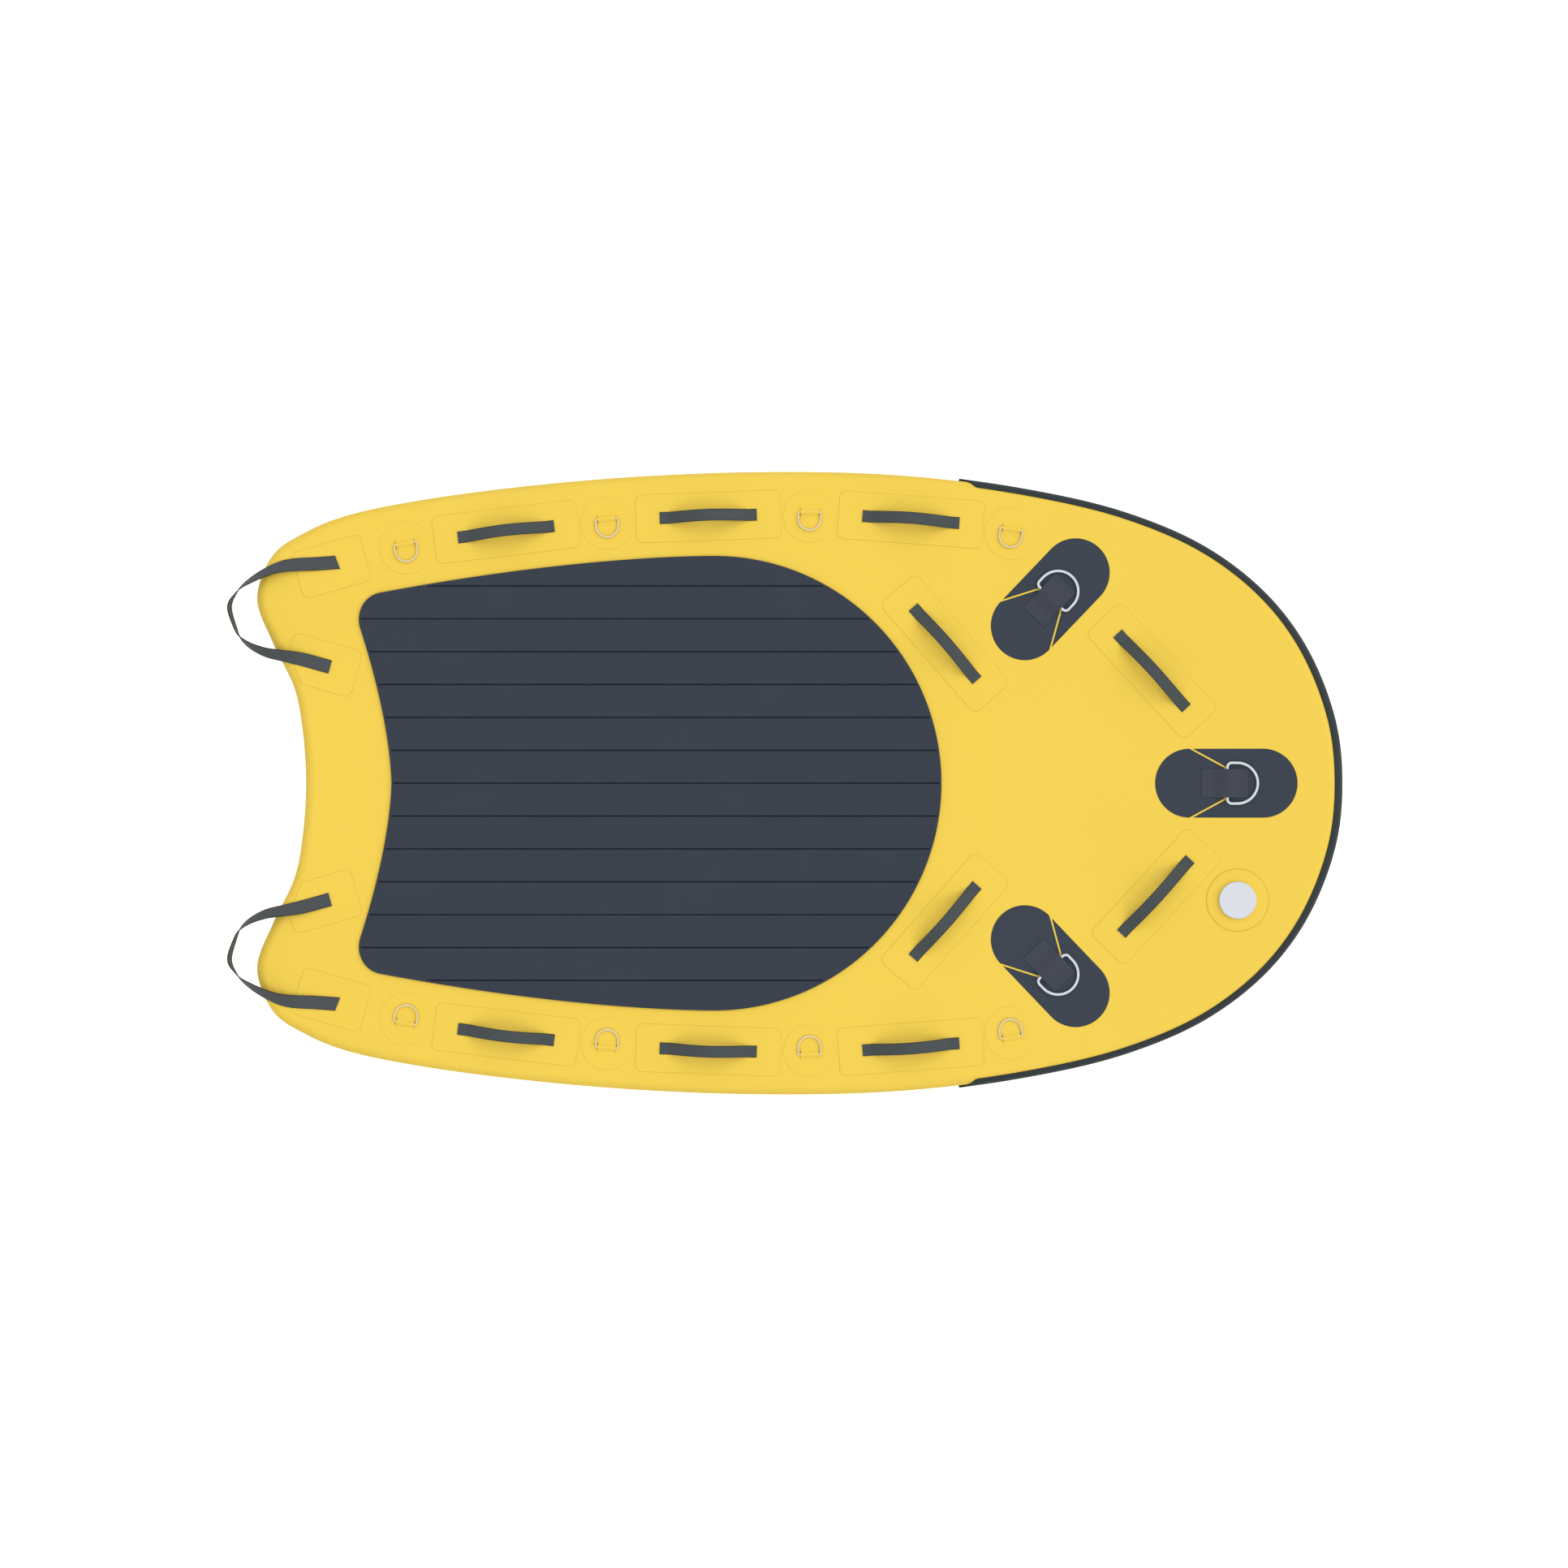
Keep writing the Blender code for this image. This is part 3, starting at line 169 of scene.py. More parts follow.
# Plan of the hull, port side, from the nose to the middle of the stern: share of the length behind
# the nose, and share of the half beam.
HULL_PLAN = (
    (0.0000, 0.000), (0.0060, 0.198), (0.0310, 0.424), (0.0680, 0.599), (0.1232, 0.750),
    (0.1975, 0.863), (0.2915, 0.940), (0.4047, 0.989), (0.5361, 1.000), (0.6868, 0.976),
    (0.8374, 0.916), (0.9180, 0.859), (0.9540, 0.808), (0.9842, 0.736), (1.0000, 0.592),
    (0.9855, 0.447), (0.9654, 0.300), (0.9580, 0.167), (0.9549, 0.000),
)
STERN_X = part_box("side_wall")[0].x
HALF_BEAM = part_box("side_wall")[1].y
NOSE_X = STERN_X + HULL_LENGTH
NOTCH_X = NOSE_X - HULL_PLAN[-1][0] * HULL_LENGTH
ROCKER_X = NOSE_X - ROCKER_LENGTH
ROCKER_RADIUS = (ROCKER_LENGTH ** 2 + ROCKER_HEIGHT ** 2) / (2 * ROCKER_HEIGHT)
UP = Vector((0, 0, 1))
joints = {joint["name"]: joint for joint in frame["joints"]}


def smooth_line(points, steps, closed):
    """Centripetal Catmull-Rom curve through the points, with steps points from one to the next."""
    count = len(points)
    curve = []
    for i in range(count if closed else count - 1):
        p1, p2 = points[i], points[(i + 1) % count]
        p0 = points[i - 1] if closed or i > 0 else p1 * 2 - p2
        p3 = points[(i + 2) % count] if closed or i < count - 2 else p2 * 2 - p1
        t1 = (p1 - p0).length ** 0.5
        t2 = t1 + (p2 - p1).length ** 0.5
        t3 = t2 + (p3 - p2).length ** 0.5
        for step in range(steps):
            t = t1 + (t2 - t1) * step / steps
            a1 = p0.lerp(p1, t / t1)
            a2 = p1.lerp(p2, (t - t1) / (t2 - t1))
            a3 = p2.lerp(p3, (t - t2) / (t3 - t2))
            b1 = a1.lerp(a2, t / t2)
            b2 = a2.lerp(a3, (t - t1) / (t3 - t1))
            curve.append(b1.lerp(b2, (t - t1) / (t2 - t1)))
    return curve if closed else curve + [points[-1].copy()]


def stations_along(line, closed):
    """Each point of a counter-clockwise line in plan, with the ways out and up from it."""
    stations = []
    count = len(line)
    for i, point in enumerate(line):
        before = point - line[i - 1] if closed or i > 0 else line[1] - line[0]
        after = line[(i + 1) % count] - point if closed or i < count - 1 else before
        n1 = Vector((before.y, -before.x)).normalized()
        n2 = Vector((after.y, -after.x)).normalized()
        out = (n1 + n2) / (1 + n1.dot(n2))
        stations.append((point.to_3d(), out.to_3d(), UP))
    return stations


def moved_out(line, distance):
    """Closed line moved out by a distance, or in by a negative one."""
    return [(point + out * distance).xy for point, out, up in stations_along(line, True)]


def arc(centre, radius, start, end, steps):
    """Points of an arc between two angles in degrees, both ends included."""
    angles = [math.radians(start + (end - start) * i / steps) for i in range(steps + 1)]
    return [Vector((centre[0] + radius * math.cos(a), centre[1] + radius * math.sin(a))) for a in angles]


def circle(centre, diameter, steps):
    """Points of a circle, each once."""
    return arc(centre, diameter / 2, 0, 360, steps)[:-1]


def rolled(point):
    """Where a point of the flat hull goes once the bow is rolled up onto its large arc."""
    angle = max(point.x - ROCKER_X, 0) / ROCKER_RADIUS
    radius = ROCKER_RADIUS - (point.z - THICKNESS / 2)
    height = THICKNESS / 2 + ROCKER_RADIUS - radius * math.cos(angle)
    return Vector((min(point.x, ROCKER_X) + radius * math.sin(angle), point.y, height))


def roll_up(bm):
    """Rolls a shape up with the bow as it is."""
    for v in bm.verts:
        v.co = rolled(v.co)


def roll_bow(bm):
    """Cuts a flat piece into narrow strips ahead of the rocker line and rolls it up."""
    front = max(v.co.x for v in bm.verts)
    for k in range(math.ceil(max(front - ROCKER_X, 0) / BEND_STRIP)):
        bmesh.ops.bisect_plane(bm, geom=bm.verts[:] + bm.edges[:] + bm.faces[:], dist=SAME,
                               plane_co=(ROCKER_X + k * BEND_STRIP, 0, 0), plane_no=(1, 0, 0))
    roll_up(bm)


def draw_outline(bm, outline, height):
    """Adds a closed outline at a height and returns its vertices and edges."""
    ring = [bm.verts.new((p.x, p.y, height)) for p in outline]
    return ring, [bm.edges.new(pair) for pair in zip(ring, ring[1:] + ring[:1])]


def of_kind(geom, kind):
    """The vertices, edges or faces in what an operator returns."""
    return [g for g in geom if isinstance(g, kind)]


def pull_up(bm, faces, height):
    """Gives flat faces a thickness upwards."""
    grown = bmesh.ops.extrude_face_region(bm, geom=faces)["geom"]
    bmesh.ops.translate(bm, verts=of_kind(grown, bmesh.types.BMVert), vec=(0, 0, height))


def finish_piece(name, bm, material, node, body="hull"):
    """Makes an object of a closed shape: smooth but for sharp edges, riding on its body."""
    bmesh.ops.remove_doubles(bm, verts=bm.verts, dist=SAME)
    bmesh.ops.recalc_face_normals(bm, faces=bm.faces)
    mesh = bpy.data.meshes.new(name)
    bm.to_mesh(mesh)
    bm.free()
    mesh.shade_smooth()
    mesh.set_sharp_from_angle(angle=math.radians(SHARP))
    mesh.materials.append(material)
    piece = bpy.data.objects.new(name, mesh)
    scene.collection.objects.link(piece)
    weighted = piece.modifiers.new("even shading", "WEIGHTED_NORMAL")
    weighted.keep_sharp = True
    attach(piece, body)
    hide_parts(node)
    return piece


def new_finish(name, roughness, specular=0.5, metallic=0.0):
    """Material with a Principled shader: its node tree, shader and object coordinates."""
    material = bpy.data.materials.new(name)
    material.use_nodes = True
    tree = material.node_tree
    shader = tree.nodes["Principled BSDF"]
    shader.inputs["Roughness"].default_value = roughness
    shader.inputs["Specular IOR Level"].default_value = specular
    shader.inputs["Metallic"].default_value = metallic
    place = add_node(tree, "ShaderNodeTexCoord").outputs["Object"]
    return material, tree, shader, place


def mottled(tree, place, dark, light, size):
    """Soft cloudy change between two colours, with clouds of a size in metres."""
    cloud = add_node(tree, "ShaderNodeTexNoise", {"Scale": 1 / size, "Detail": 3.0, "Roughness": 0.55},
                     {"Vector": place})
    return add_node(tree, "ShaderNodeMix", {"data_type": "RGBA", 6: linear(dark), 7: linear(light)},
                    {0: cloud.outputs[0]}).outputs[2]


def raise_bumps(tree, shader, height, distance, strength):
    """Bump from a height pattern of 0 to 1 that is distance metres deep."""
    bump = add_node(tree, "ShaderNodeBump", {"Distance": distance, "Strength": strength}, {"Height": height})
    tree.links.new(bump.outputs[0], shader.inputs["Normal"])


def clouded_finish(name, dark, light, cloud, roughness, specular=0.5, metallic=0.0):
    """Finish that changes softly between two colours, in clouds of a size in metres."""
    material, tree, shader, place = new_finish(name, roughness, specular, metallic)
    tree.links.new(mottled(tree, place, dark, light, cloud), shader.inputs["Base Color"])
    return material, tree, shader, place


def raise_grain(tree, shader, place, grain, detail, distance, strength):
    """Bump of fine noise, with grains of a size in metres."""
    noise = add_node(tree, "ShaderNodeTexNoise", {"Scale": 1 / grain, "Detail": detail}, {"Vector": place})
    raise_bumps(tree, shader, noise.outputs[0], distance, strength)


# Polyester yarn: matt, off-white, with a fine uneven twist.
yarn, tree, shader, place = clouded_finish("polyester_yarn", "DAD8CF", "ECEAE2", cloud=0.004,
                                           roughness=0.9, specular=0.2)
raise_grain(tree, shader, place, YARN_TWIST, detail=2.0, distance=0.0003, strength=0.4)


def mirrored(line):
    """Starboard points of a port line, run back the other way."""
    return [Vector((p.x, -p.y)) for p in reversed(line)]


port_plan = [Vector((NOSE_X - along * HULL_LENGTH, out * HALF_BEAM)) for along, out in HULL_PLAN]
hull_line = smooth_line(port_plan + mirrored(port_plan[1:-1]), OUTLINE_STEPS, True)
deck_line = moved_out(hull_line, -SIDE_BULGE)
core_line = moved_out(deck_line, -SIDE_LAP - CORE_MARGIN)
valve_joint = joints["valve_cap_turn"]
valve_spot = Vector(valve_joint["pos_m"])


def unrolled(point):
    """Flat place in plan of a point on the finished deck."""
    angle = math.atan2(max(point.x - ROCKER_X, 0), THICKNESS / 2 + ROCKER_RADIUS - point.z)
    return Vector((min(point.x, ROCKER_X) + ROCKER_RADIUS * angle, point.y))


def half_width(x):
    """Half the width of the hull at x."""
    return max(a.y + (b.y - a.y) * (x - a.x) / (b.x - a.x)
               for a, b in zip(hull_line, hull_line[1:]) if (a.x - x) * (b.x - x) < 0)


core_low = SKIN + FIT
core_high = THICKNESS - SKIN - FIT
core = bmesh.new()
for level in (core_low, core_high - SCRIM):
    draw_outline(core, core_line, level)
    draw_outline(core, circle(unrolled(valve_spot), NUT_ROOM, NUT_ROOM_STEPS), level)
    wires = [e for e in core.edges if e.is_wire]
    filled = bmesh.ops.triangle_fill(core, edges=wires, use_beauty=True)["geom"]
    pull_up(core, of_kind(filled, bmesh.types.BMFace), SCRIM)
for row in range(1, int((NOSE_X - NOTCH_X) / YARN_PITCH)):
    x = NOTCH_X + row * YARN_PITCH
    columns = int((half_width(x) - SIDE_BULGE - 2 * SIDE_LAP) / YARN_PITCH)
    for column in range(-columns, columns + 1):
        y = column * YARN_PITCH
        if (Vector((x, y)) - unrolled(valve_spot)).length >= NUT_ROOM:
            size = Matrix.Diagonal((YARN, YARN, core_high - core_low - 2 * SCRIM, 1))
            spot = Matrix.Translation((x, y, THICKNESS / 2))
            bmesh.ops.create_cube(core, size=1.0, matrix=spot @ size)
roll_bow(core)
finish_piece("core_faces_and_yarns", core, yarn, "drop_stitch_core")

# Deck and bottom
# Polyester cloth coated with PVC, calendered smooth, yellow right through the coating. Both run out
# flat, turn over the shoulder on a small radius and are welded down over the side wall.
SHOULDER = 0.022
SHOULDER_STEPS = 8
LAP_END = 0.026
LAP_STEPS = 3
FLAT_RING = 0.006
BORE = 0.053
BORE_STEPS = 48
CLOTH_PITCH = 0.0025            # real threads lie 1 mm apart, too fine to show
WALL_RADIUS = ((THICKNESS / 2) ** 2 + (SIDE_BULGE - FIT) ** 2) / (2 * (SIDE_BULGE - FIT))


def bands(pitch):
    """Scale of a Wave texture whose bands lie a pitch apart: at scale 1 they lie 2 pi / 20 apart."""
    return math.tau / 20 / pitch


def coated_cloth(name, dark, light, cut, roughness, specular):
    """Calendered PVC over woven polyester: satin, faintly cloudy, the weave just telling through, and
    a darker line where a patch's edge is cut, partly its glue and partly painted shade."""
    material, tree, shader, place = new_finish(name, roughness, specular)
    # Painted shade: the darker line at a patch's cut edge stands for its glue and for the edge's shadow.
    glue_and_painted_shade_edge = add_node(tree, "ShaderNodeAttribute", {"attribute_name": "glue_and_painted_shade_edge"}).outputs["Fac"]
    line = add_node(tree, "ShaderNodeMapRange", {"From Max": 0.5}, {"Value": glue_and_painted_shade_edge})
    tone = add_node(tree, "ShaderNodeMix", {"data_type": "RGBA", 7: linear(cut)},
                    {0: line.outputs[0], 6: mottled(tree, place, dark, light, size=0.35)})
    tree.links.new(tone.outputs[2], shader.inputs["Base Color"])
    threads = []
    for direction in ("X", "Y", "Z"):
        wave = add_node(tree, "ShaderNodeTexWave",
                        {"bands_direction": direction, "Scale": bands(CLOTH_PITCH), "Distortion": 0.4,
                         "Detail": 1.0, "Detail Scale": 4.0}, {"Vector": place})
        threads.append(wave.outputs["Fac"])
    weave = add_node(tree, "ShaderNodeMath", {"operation": "ADD"}, {0: threads[0], 1: threads[1]})
    weave = add_node(tree, "ShaderNodeMath", {"operation": "ADD"}, {0: weave.outputs[0], 1: threads[2]})
    raise_bumps(tree, shader, weave.outputs[0], distance=0.00008, strength=0.35)
    return material


# DDBA49 is the patches' edge line on yellow cloth: glue and painted shade.
yellow_cloth = coated_cloth("yellow_pvc_cloth", "F3D051", "F7D455", "DDBA49", roughness=0.65, specular=0.12)


def pull_along(section, stations, closed_section=True):
    """Pulls a section of (out, up) points, or a list with a section for each station, along stations of
    (origin, way out, way up)."""
    sections = [section] * len(stations) if isinstance(section[0], Vector) else section
    bm = bmesh.new()
    place_layer = bm.verts.layers.int.new("place")
    reach_layer = bm.verts.layers.float.new("reach")
    origin, out, up = stations[0]
    ring = [bm.verts.new(origin + out * y + up * z) for y, z in sections[0]]
    for k, v in enumerate(ring):
        v[place_layer] = k
    pairs = list(zip(ring, ring[1:]))
    if closed_section:
        pairs.append((ring[-1], ring[0]))
    edges = [bm.edges.new(pair) for pair in pairs]
    reach = 0.0
    for before, (origin, out, up), shape in zip(stations, stations[1:], sections[1:]):
        reach += (origin - before[0]).length
        grown = bmesh.ops.extrude_edge_only(bm, edges=edges)["geom"]
        edges = of_kind(grown, bmesh.types.BMEdge)
        for v in {v for e in edges for v in e.verts}:
            y, z = shape[v[place_layer]]
            v.co = origin + out * y + up * z
            v[reach_layer] = reach
    return bm


def round_stations(line):
    """Stations once round a closed line, with the first one again at the end."""
    stations = stations_along(line, True)
    return stations + stations[:1]


def wall_point(height, skin, offset=0.0):
    """Point at a height on the swell, a skin outside the side wall's face, moved out square to it."""
    angle = math.asin((height - THICKNESS / 2) / (WALL_RADIUS + skin))
    radius = WALL_RADIUS + skin + offset
    return Vector((SIDE_BULGE - FIT - WALL_RADIUS + radius * math.cos(angle),
                   THICKNESS / 2 + radius * math.sin(angle)))


# The shoulder's small arc turns from the flat deck to the swell, which it meets at the run-in's angle.
middles_apart = WALL_RADIUS + SKIN - SHOULDER
run_in = math.asin((THICKNESS / 2 - SHOULDER) / middles_apart)
shoulder_middle = Vector((SIDE_BULGE - FIT - WALL_RADIUS + middles_apart * math.cos(run_in),
                          THICKNESS - SHOULDER))


def shoulder_line(radius):
    """Shoulder from the flat deck to the side wall, at a radius about its own middle."""
    return arc(shoulder_middle, radius, 90, math.degrees(run_in), SHOULDER_STEPS)


def make_skin(name, node, upper):
    """Deck or bottom cloth with its shoulder and its lap over the side wall."""
    line = shoulder_line(SHOULDER)
    lap = THICKNESS - LAP_END - line[-1].y
    section = [Vector((line[0].x - FLAT_RING, THICKNESS))] + line
    section += [wall_point(line[-1].y + lap * i / LAP_STEPS, SKIN) for i in range(1, LAP_STEPS + 1)]
    bm = pull_along(section, round_stations(deck_line), closed_section=False)
    bmesh.ops.remove_doubles(bm, verts=bm.verts, dist=SAME)
    rim = [e for e in bm.edges if e.is_boundary and min(v.co.z for v in e.verts) > THICKNESS - SAME]
    if upper:
        rim += draw_outline(bm, circle(unrolled(valve_spot), BORE, BORE_STEPS), THICKNESS)[1]
        bmesh.ops.triangle_fill(bm, edges=rim, use_beauty=True)
    else:
        bmesh.ops.contextual_create(bm, geom=rim)
        for v in bm.verts:
            v.co.z = THICKNESS - v.co.z
    roll_bow(bm)
    bmesh.ops.recalc_face_normals(bm, faces=bm.faces)
    largest = max(bm.faces, key=lambda face: face.calc_area())
    if (largest.normal.z > 0) != upper:
        bmesh.ops.reverse_faces(bm, faces=bm.faces)
    bmesh.ops.solidify(bm, geom=bm.faces, thickness=SKIN)
    finish_piece(name, bm, yellow_cloth, node)


make_skin("deck_cloth", "deck_skin", True)
make_skin("bottom_cloth", "bottom_skin", False)

# Side wall
# A strip of the same cloth round the whole hull, swelling a little under pressure, with a lap welded
# under the deck and another over the bottom.
WALL_STEPS = 14


def side_section():
    """Closed section of the strip, with its laps following the shoulders from inside."""
    outer = shoulder_line(SHOULDER - SKIN - FIT)[::-1]
    start = outer[0].y
    outer.append(Vector((-SIDE_LAP, THICKNESS - SKIN - FIT)))
    inner = [Vector((-SIDE_LAP, THICKNESS - 2 * SKIN - FIT))] + shoulder_line(SHOULDER - 2 * SKIN - FIT)
    heights = [THICKNESS - start + (2 * start - THICKNESS) * i / WALL_STEPS for i in range(1, WALL_STEPS)]
    swell = [wall_point(height, 0.0) for height in heights]
    inner_swell = [wall_point(height, -SKIN) for height in reversed(heights)]
    lower = [Vector((p.x, THICKNESS - p.y)) for p in inner[::-1] + outer[::-1]]
    return swell + outer + inner + inner_swell + lower


side = pull_along(side_section(), round_stations(deck_line))
roll_up(side)
finish_piece("side_cloth", side, yellow_cloth, "side_wall")

# Bow strake
# Extruded black rubber, bonded over the side wall and both shoulders from one side round the bow to
# the other. It has rounded edges and two shallow grooves, and its ends are cut down in a soft curve.
STRAKE_THICKNESS = 0.003
STRAKE_GIRTH = 0.151
STRAKE_START = 0.806
STRAKE_TAPER = 0.038
STRAKE_TAPER_STEPS = 12
STRAKE_END_GIRTH = 0.045
STRAKE_END_ROUNDING = 0.4       # 0 is a soft S curve, 1 is a quarter of an ellipse
STRAKE_GROOVE = 0.0008
STRAKE_GROOVE_WIDTH = 0.005
STRAKE_GROOVE_PLACE = 0.36      # share of the half girth above and below the middle
STRAKE_STEPS = 48
STRAKE_BACK_STEPS = 16
RUBBER_GRAIN = 1 / 600

# Black rubber: matt and slightly grey, with a bloom in soft clouds and a fine moulded grain.
rubber, tree, shader, place = clouded_finish("black_rubber", "34393B", "3A4042", cloud=0.05,
                                             roughness=0.85, specular=0.08)
raise_grain(tree, shader, place, RUBBER_GRAIN, detail=2.0, distance=0.0002, strength=0.3)


def side_place(rise, offset):
    """Point of the side's outer face, a rise along it from its middle and moved out square to it."""
    radius = WALL_RADIUS + SKIN
    if abs(rise) <= radius * run_in:
        return wall_point(THICKNESS / 2 + radius * math.sin(rise / radius), SKIN, offset)
    angle = run_in + (abs(rise) - radius * run_in) / SHOULDER
    height = shoulder_middle.y + (SHOULDER + offset) * math.sin(angle)
    return Vector((shoulder_middle.x + (SHOULDER + offset) * math.cos(angle),
                   height if rise > 0 else THICKNESS - height))


def strake_section(girth):
    """Band over the side's outer face, as many points for any girth."""
    half = girth / 2
    rounding = STRAKE_THICKNESS / 2
    face = FIT + STRAKE_THICKNESS
    outer = []
    for i in range(STRAKE_STEPS + 1):
        rise = (half - rounding) * (2 * i / STRAKE_STEPS - 1)
        off_groove = abs(abs(rise) - STRAKE_GROOVE_PLACE * half) / (STRAKE_GROOVE_WIDTH / 2)
        outer.append(side_place(rise, face - STRAKE_GROOVE * max(0.0, 1 - off_groove ** 2)))
    top = []
    low = []
    for degrees in (30, 60, 90):
        turn = math.radians(degrees)
        rise = half - rounding + rounding * math.sin(turn)
        off = face - rounding * (1 - math.cos(turn))
        top.append(side_place(rise, off))
        low.append(side_place(-rise, off))
    back = [side_place(half * (1 - 2 * i / STRAKE_BACK_STEPS), FIT) for i in range(STRAKE_BACK_STEPS + 1)]
    return low[::-1] + outer + top + back


def strake_stations():
    """Stations round the bow, from the starboard end to the port end, and the girth at each."""
    full_start = NOSE_X - STRAKE_START + STRAKE_TAPER
    port = [p for p in deck_line if p.y >= 0 and p.x > full_start]
    aft = (deck_line[len(port)] - port[-1]).normalized()
    taper_start = port[-1] + aft * (full_start - port[-1].x) / aft.x
    end = taper_start - aft * STRAKE_TAPER / aft.x
    girths = [STRAKE_GIRTH] * len(port)
    for i in range(STRAKE_TAPER_STEPS + 1):
        share = min(math.sin(math.pi / 2 * i / STRAKE_TAPER_STEPS), 1.0)
        soft = 0.5 + 0.5 * math.cos(math.pi * share)
        full = soft + (math.sqrt(1 - share ** 2) - soft) * STRAKE_END_ROUNDING
        port.append(taper_start.lerp(end, share))
        girths.append(STRAKE_END_GIRTH + (STRAKE_GIRTH - STRAKE_END_GIRTH) * full)
    return stations_along(mirrored(port[1:]) + port, False), girths[:0:-1] + girths


def close_ends(bm):
    """Fills the open ends of a pulled piece."""
    bmesh.ops.holes_fill(bm, edges=[e for e in bm.edges if e.is_boundary], sides=0)


stations, girths = strake_stations()
strake = pull_along([strake_section(girth) for girth in girths], stations)
roll_up(strake)
close_ends(strake)
finish_piece("rubber_strake", strake, rubber, "bow_strake")

# Deck pad
# A sheet of closed-cell EVA foam, heat-pressed into planks with narrow grooves that stop short of its
# edge, and glued flat on the deck for the casualty to lie on.
PAD_THICKNESS = 0.005
PAD_MARGIN = 0.035
PAD_FRONT = 0.845
PAD_STERN = 0.188
PAD_TAIL_INSET = 0.184
PAD_TAIL_SWEEP = 0.087
PAD_CORNER = 0.063
PAD_SIDE_POWER = 1.7
PAD_REAR_POWER = 1.6
PAD_FRONT_STEPS = 60
PAD_SIDE_STEPS = 30
PAD_CORNER_STEPS = 20
PAD_REAR_STEPS = 24
PAD_BORDER = 0.0045
PAD_EDGE = 0.0012
GROOVE_PITCH = 0.069
GROOVE_WIDTH = 0.0030
GROOVE_DEPTH = 0.0026
GROOVE_EDGE = 0.0004
ROW_INSET = 0.097
HANDLE_PATCH_WIDTH = 0.102
FOLD = 1.0                      # radians between the faces of a sharp edge
FOAM_CELL = 0.0012
# Below the planks' face the foam is painted darker, as shade in the grooves and over the rounded edges.
GROOVE_SHADE_DARKEST = 0.0012           # depth below the planks' face at which the foam is darkest
GROOVE_SHADE_START = 0.0003

# EVA foam: quite matt, dark blue-grey, with a fine cellular grain, and painted nearly black below the
# planks' face, as shade in the grooves and on the planks' rounded edges.
pad_low = THICKNESS + FIT
pad_top = pad_low + PAD_THICKNESS
foam, tree, shader, place = new_finish("eva_foam_painted_groove_shade", roughness=0.85, specular=0.22)
height = add_node(tree, "ShaderNodeSeparateXYZ", links={0: place}).outputs[2]
# Painted shade: the colour goes to 232830 with depth below the planks' face.
painted_groove_shade = add_node(tree, "ShaderNodeMapRange",
                   {"From Min": pad_top - GROOVE_SHADE_DARKEST, "From Max": pad_top - GROOVE_SHADE_START},
                   {"Value": height})
tone = add_node(tree, "ShaderNodeMix", {"data_type": "RGBA", 6: linear("232830")},
                {0: painted_groove_shade.outputs[0], 7: mottled(tree, place, "353C47", "3A404B", size=0.12)})
tree.links.new(tone.outputs[2], shader.inputs["Base Color"])
cells = add_node(tree, "ShaderNodeTexVoronoi", {"Scale": 1 / FOAM_CELL}, {"Vector": place})
raise_bumps(tree, shader, cells.outputs["Distance"], distance=0.0002, strength=0.35)


def round_corner(before, start, end, after):
    """Round corner between two curves, tangent to both, without its end points."""
    out = (start - before).normalized()
    back = (end - after).normalized()
    turn = out.angle(-back)
    reach = (end - start).length / 2 / math.sin(turn / 2) * 4 / 3 * math.tan(turn / 4)
    a = start + out * reach
    b = end + back * reach
    return [start * (1 - t) ** 3 + a * 3 * t * (1 - t) ** 2 + b * 3 * t * t * (1 - t) + end * t ** 3
            for t in (i / PAD_CORNER_STEPS for i in range(1, PAD_CORNER_STEPS))]


def pad_line():
    """Pad's outline: a half round front, sides that draw in aft, and a hollow rear edge."""
    half = HALF_BEAM - ROW_INSET - HANDLE_PATCH_WIDTH / 2 - PAD_MARGIN
    centre_x = NOSE_X - PAD_FRONT - half
    rear_x = NOTCH_X + PAD_STERN
    corner_x = rear_x - PAD_TAIL_SWEEP
    corner = Vector((corner_x, half_width(corner_x) - PAD_TAIL_INSET))
    nearby = 0.01

    def side(share):
        drop = (half - corner.y) * share ** PAD_SIDE_POWER
        return Vector((centre_x + (corner.x - centre_x) * share, half - drop))

    def rear(share):
        return Vector((rear_x - PAD_TAIL_SWEEP * share ** PAD_REAR_POWER, corner.y * share))

    side_end = 1 - PAD_CORNER / (centre_x - corner.x)
    rear_end = 1 - PAD_CORNER / corner.y
    port = arc((centre_x, 0), half, 0, 90, PAD_FRONT_STEPS)
    port += [side(side_end * (i + 1) / PAD_SIDE_STEPS) for i in range(PAD_SIDE_STEPS)]
    port += round_corner(side(side_end - nearby), side(side_end), rear(rear_end), rear(rear_end - nearby))
    port += [rear(rear_end * (1 - i / PAD_REAR_STEPS)) for i in range(PAD_REAR_STEPS + 1)]
    return port + mirrored(port[1:-1])


def folds(bm):
    """Edges at which two faces meet sharply."""
    return [e for e in bm.edges if len(e.link_faces) == 2 and e.calc_face_angle() > FOLD]


def soften(bm, edges, width, segments=2):
    """Rounds edges off by a width."""
    bmesh.ops.bevel(bm, geom=edges, offset=width, segments=segments, affect="EDGES", profile=0.5,
                    material=-1, offset_type="OFFSET", clamp_overlap=True)


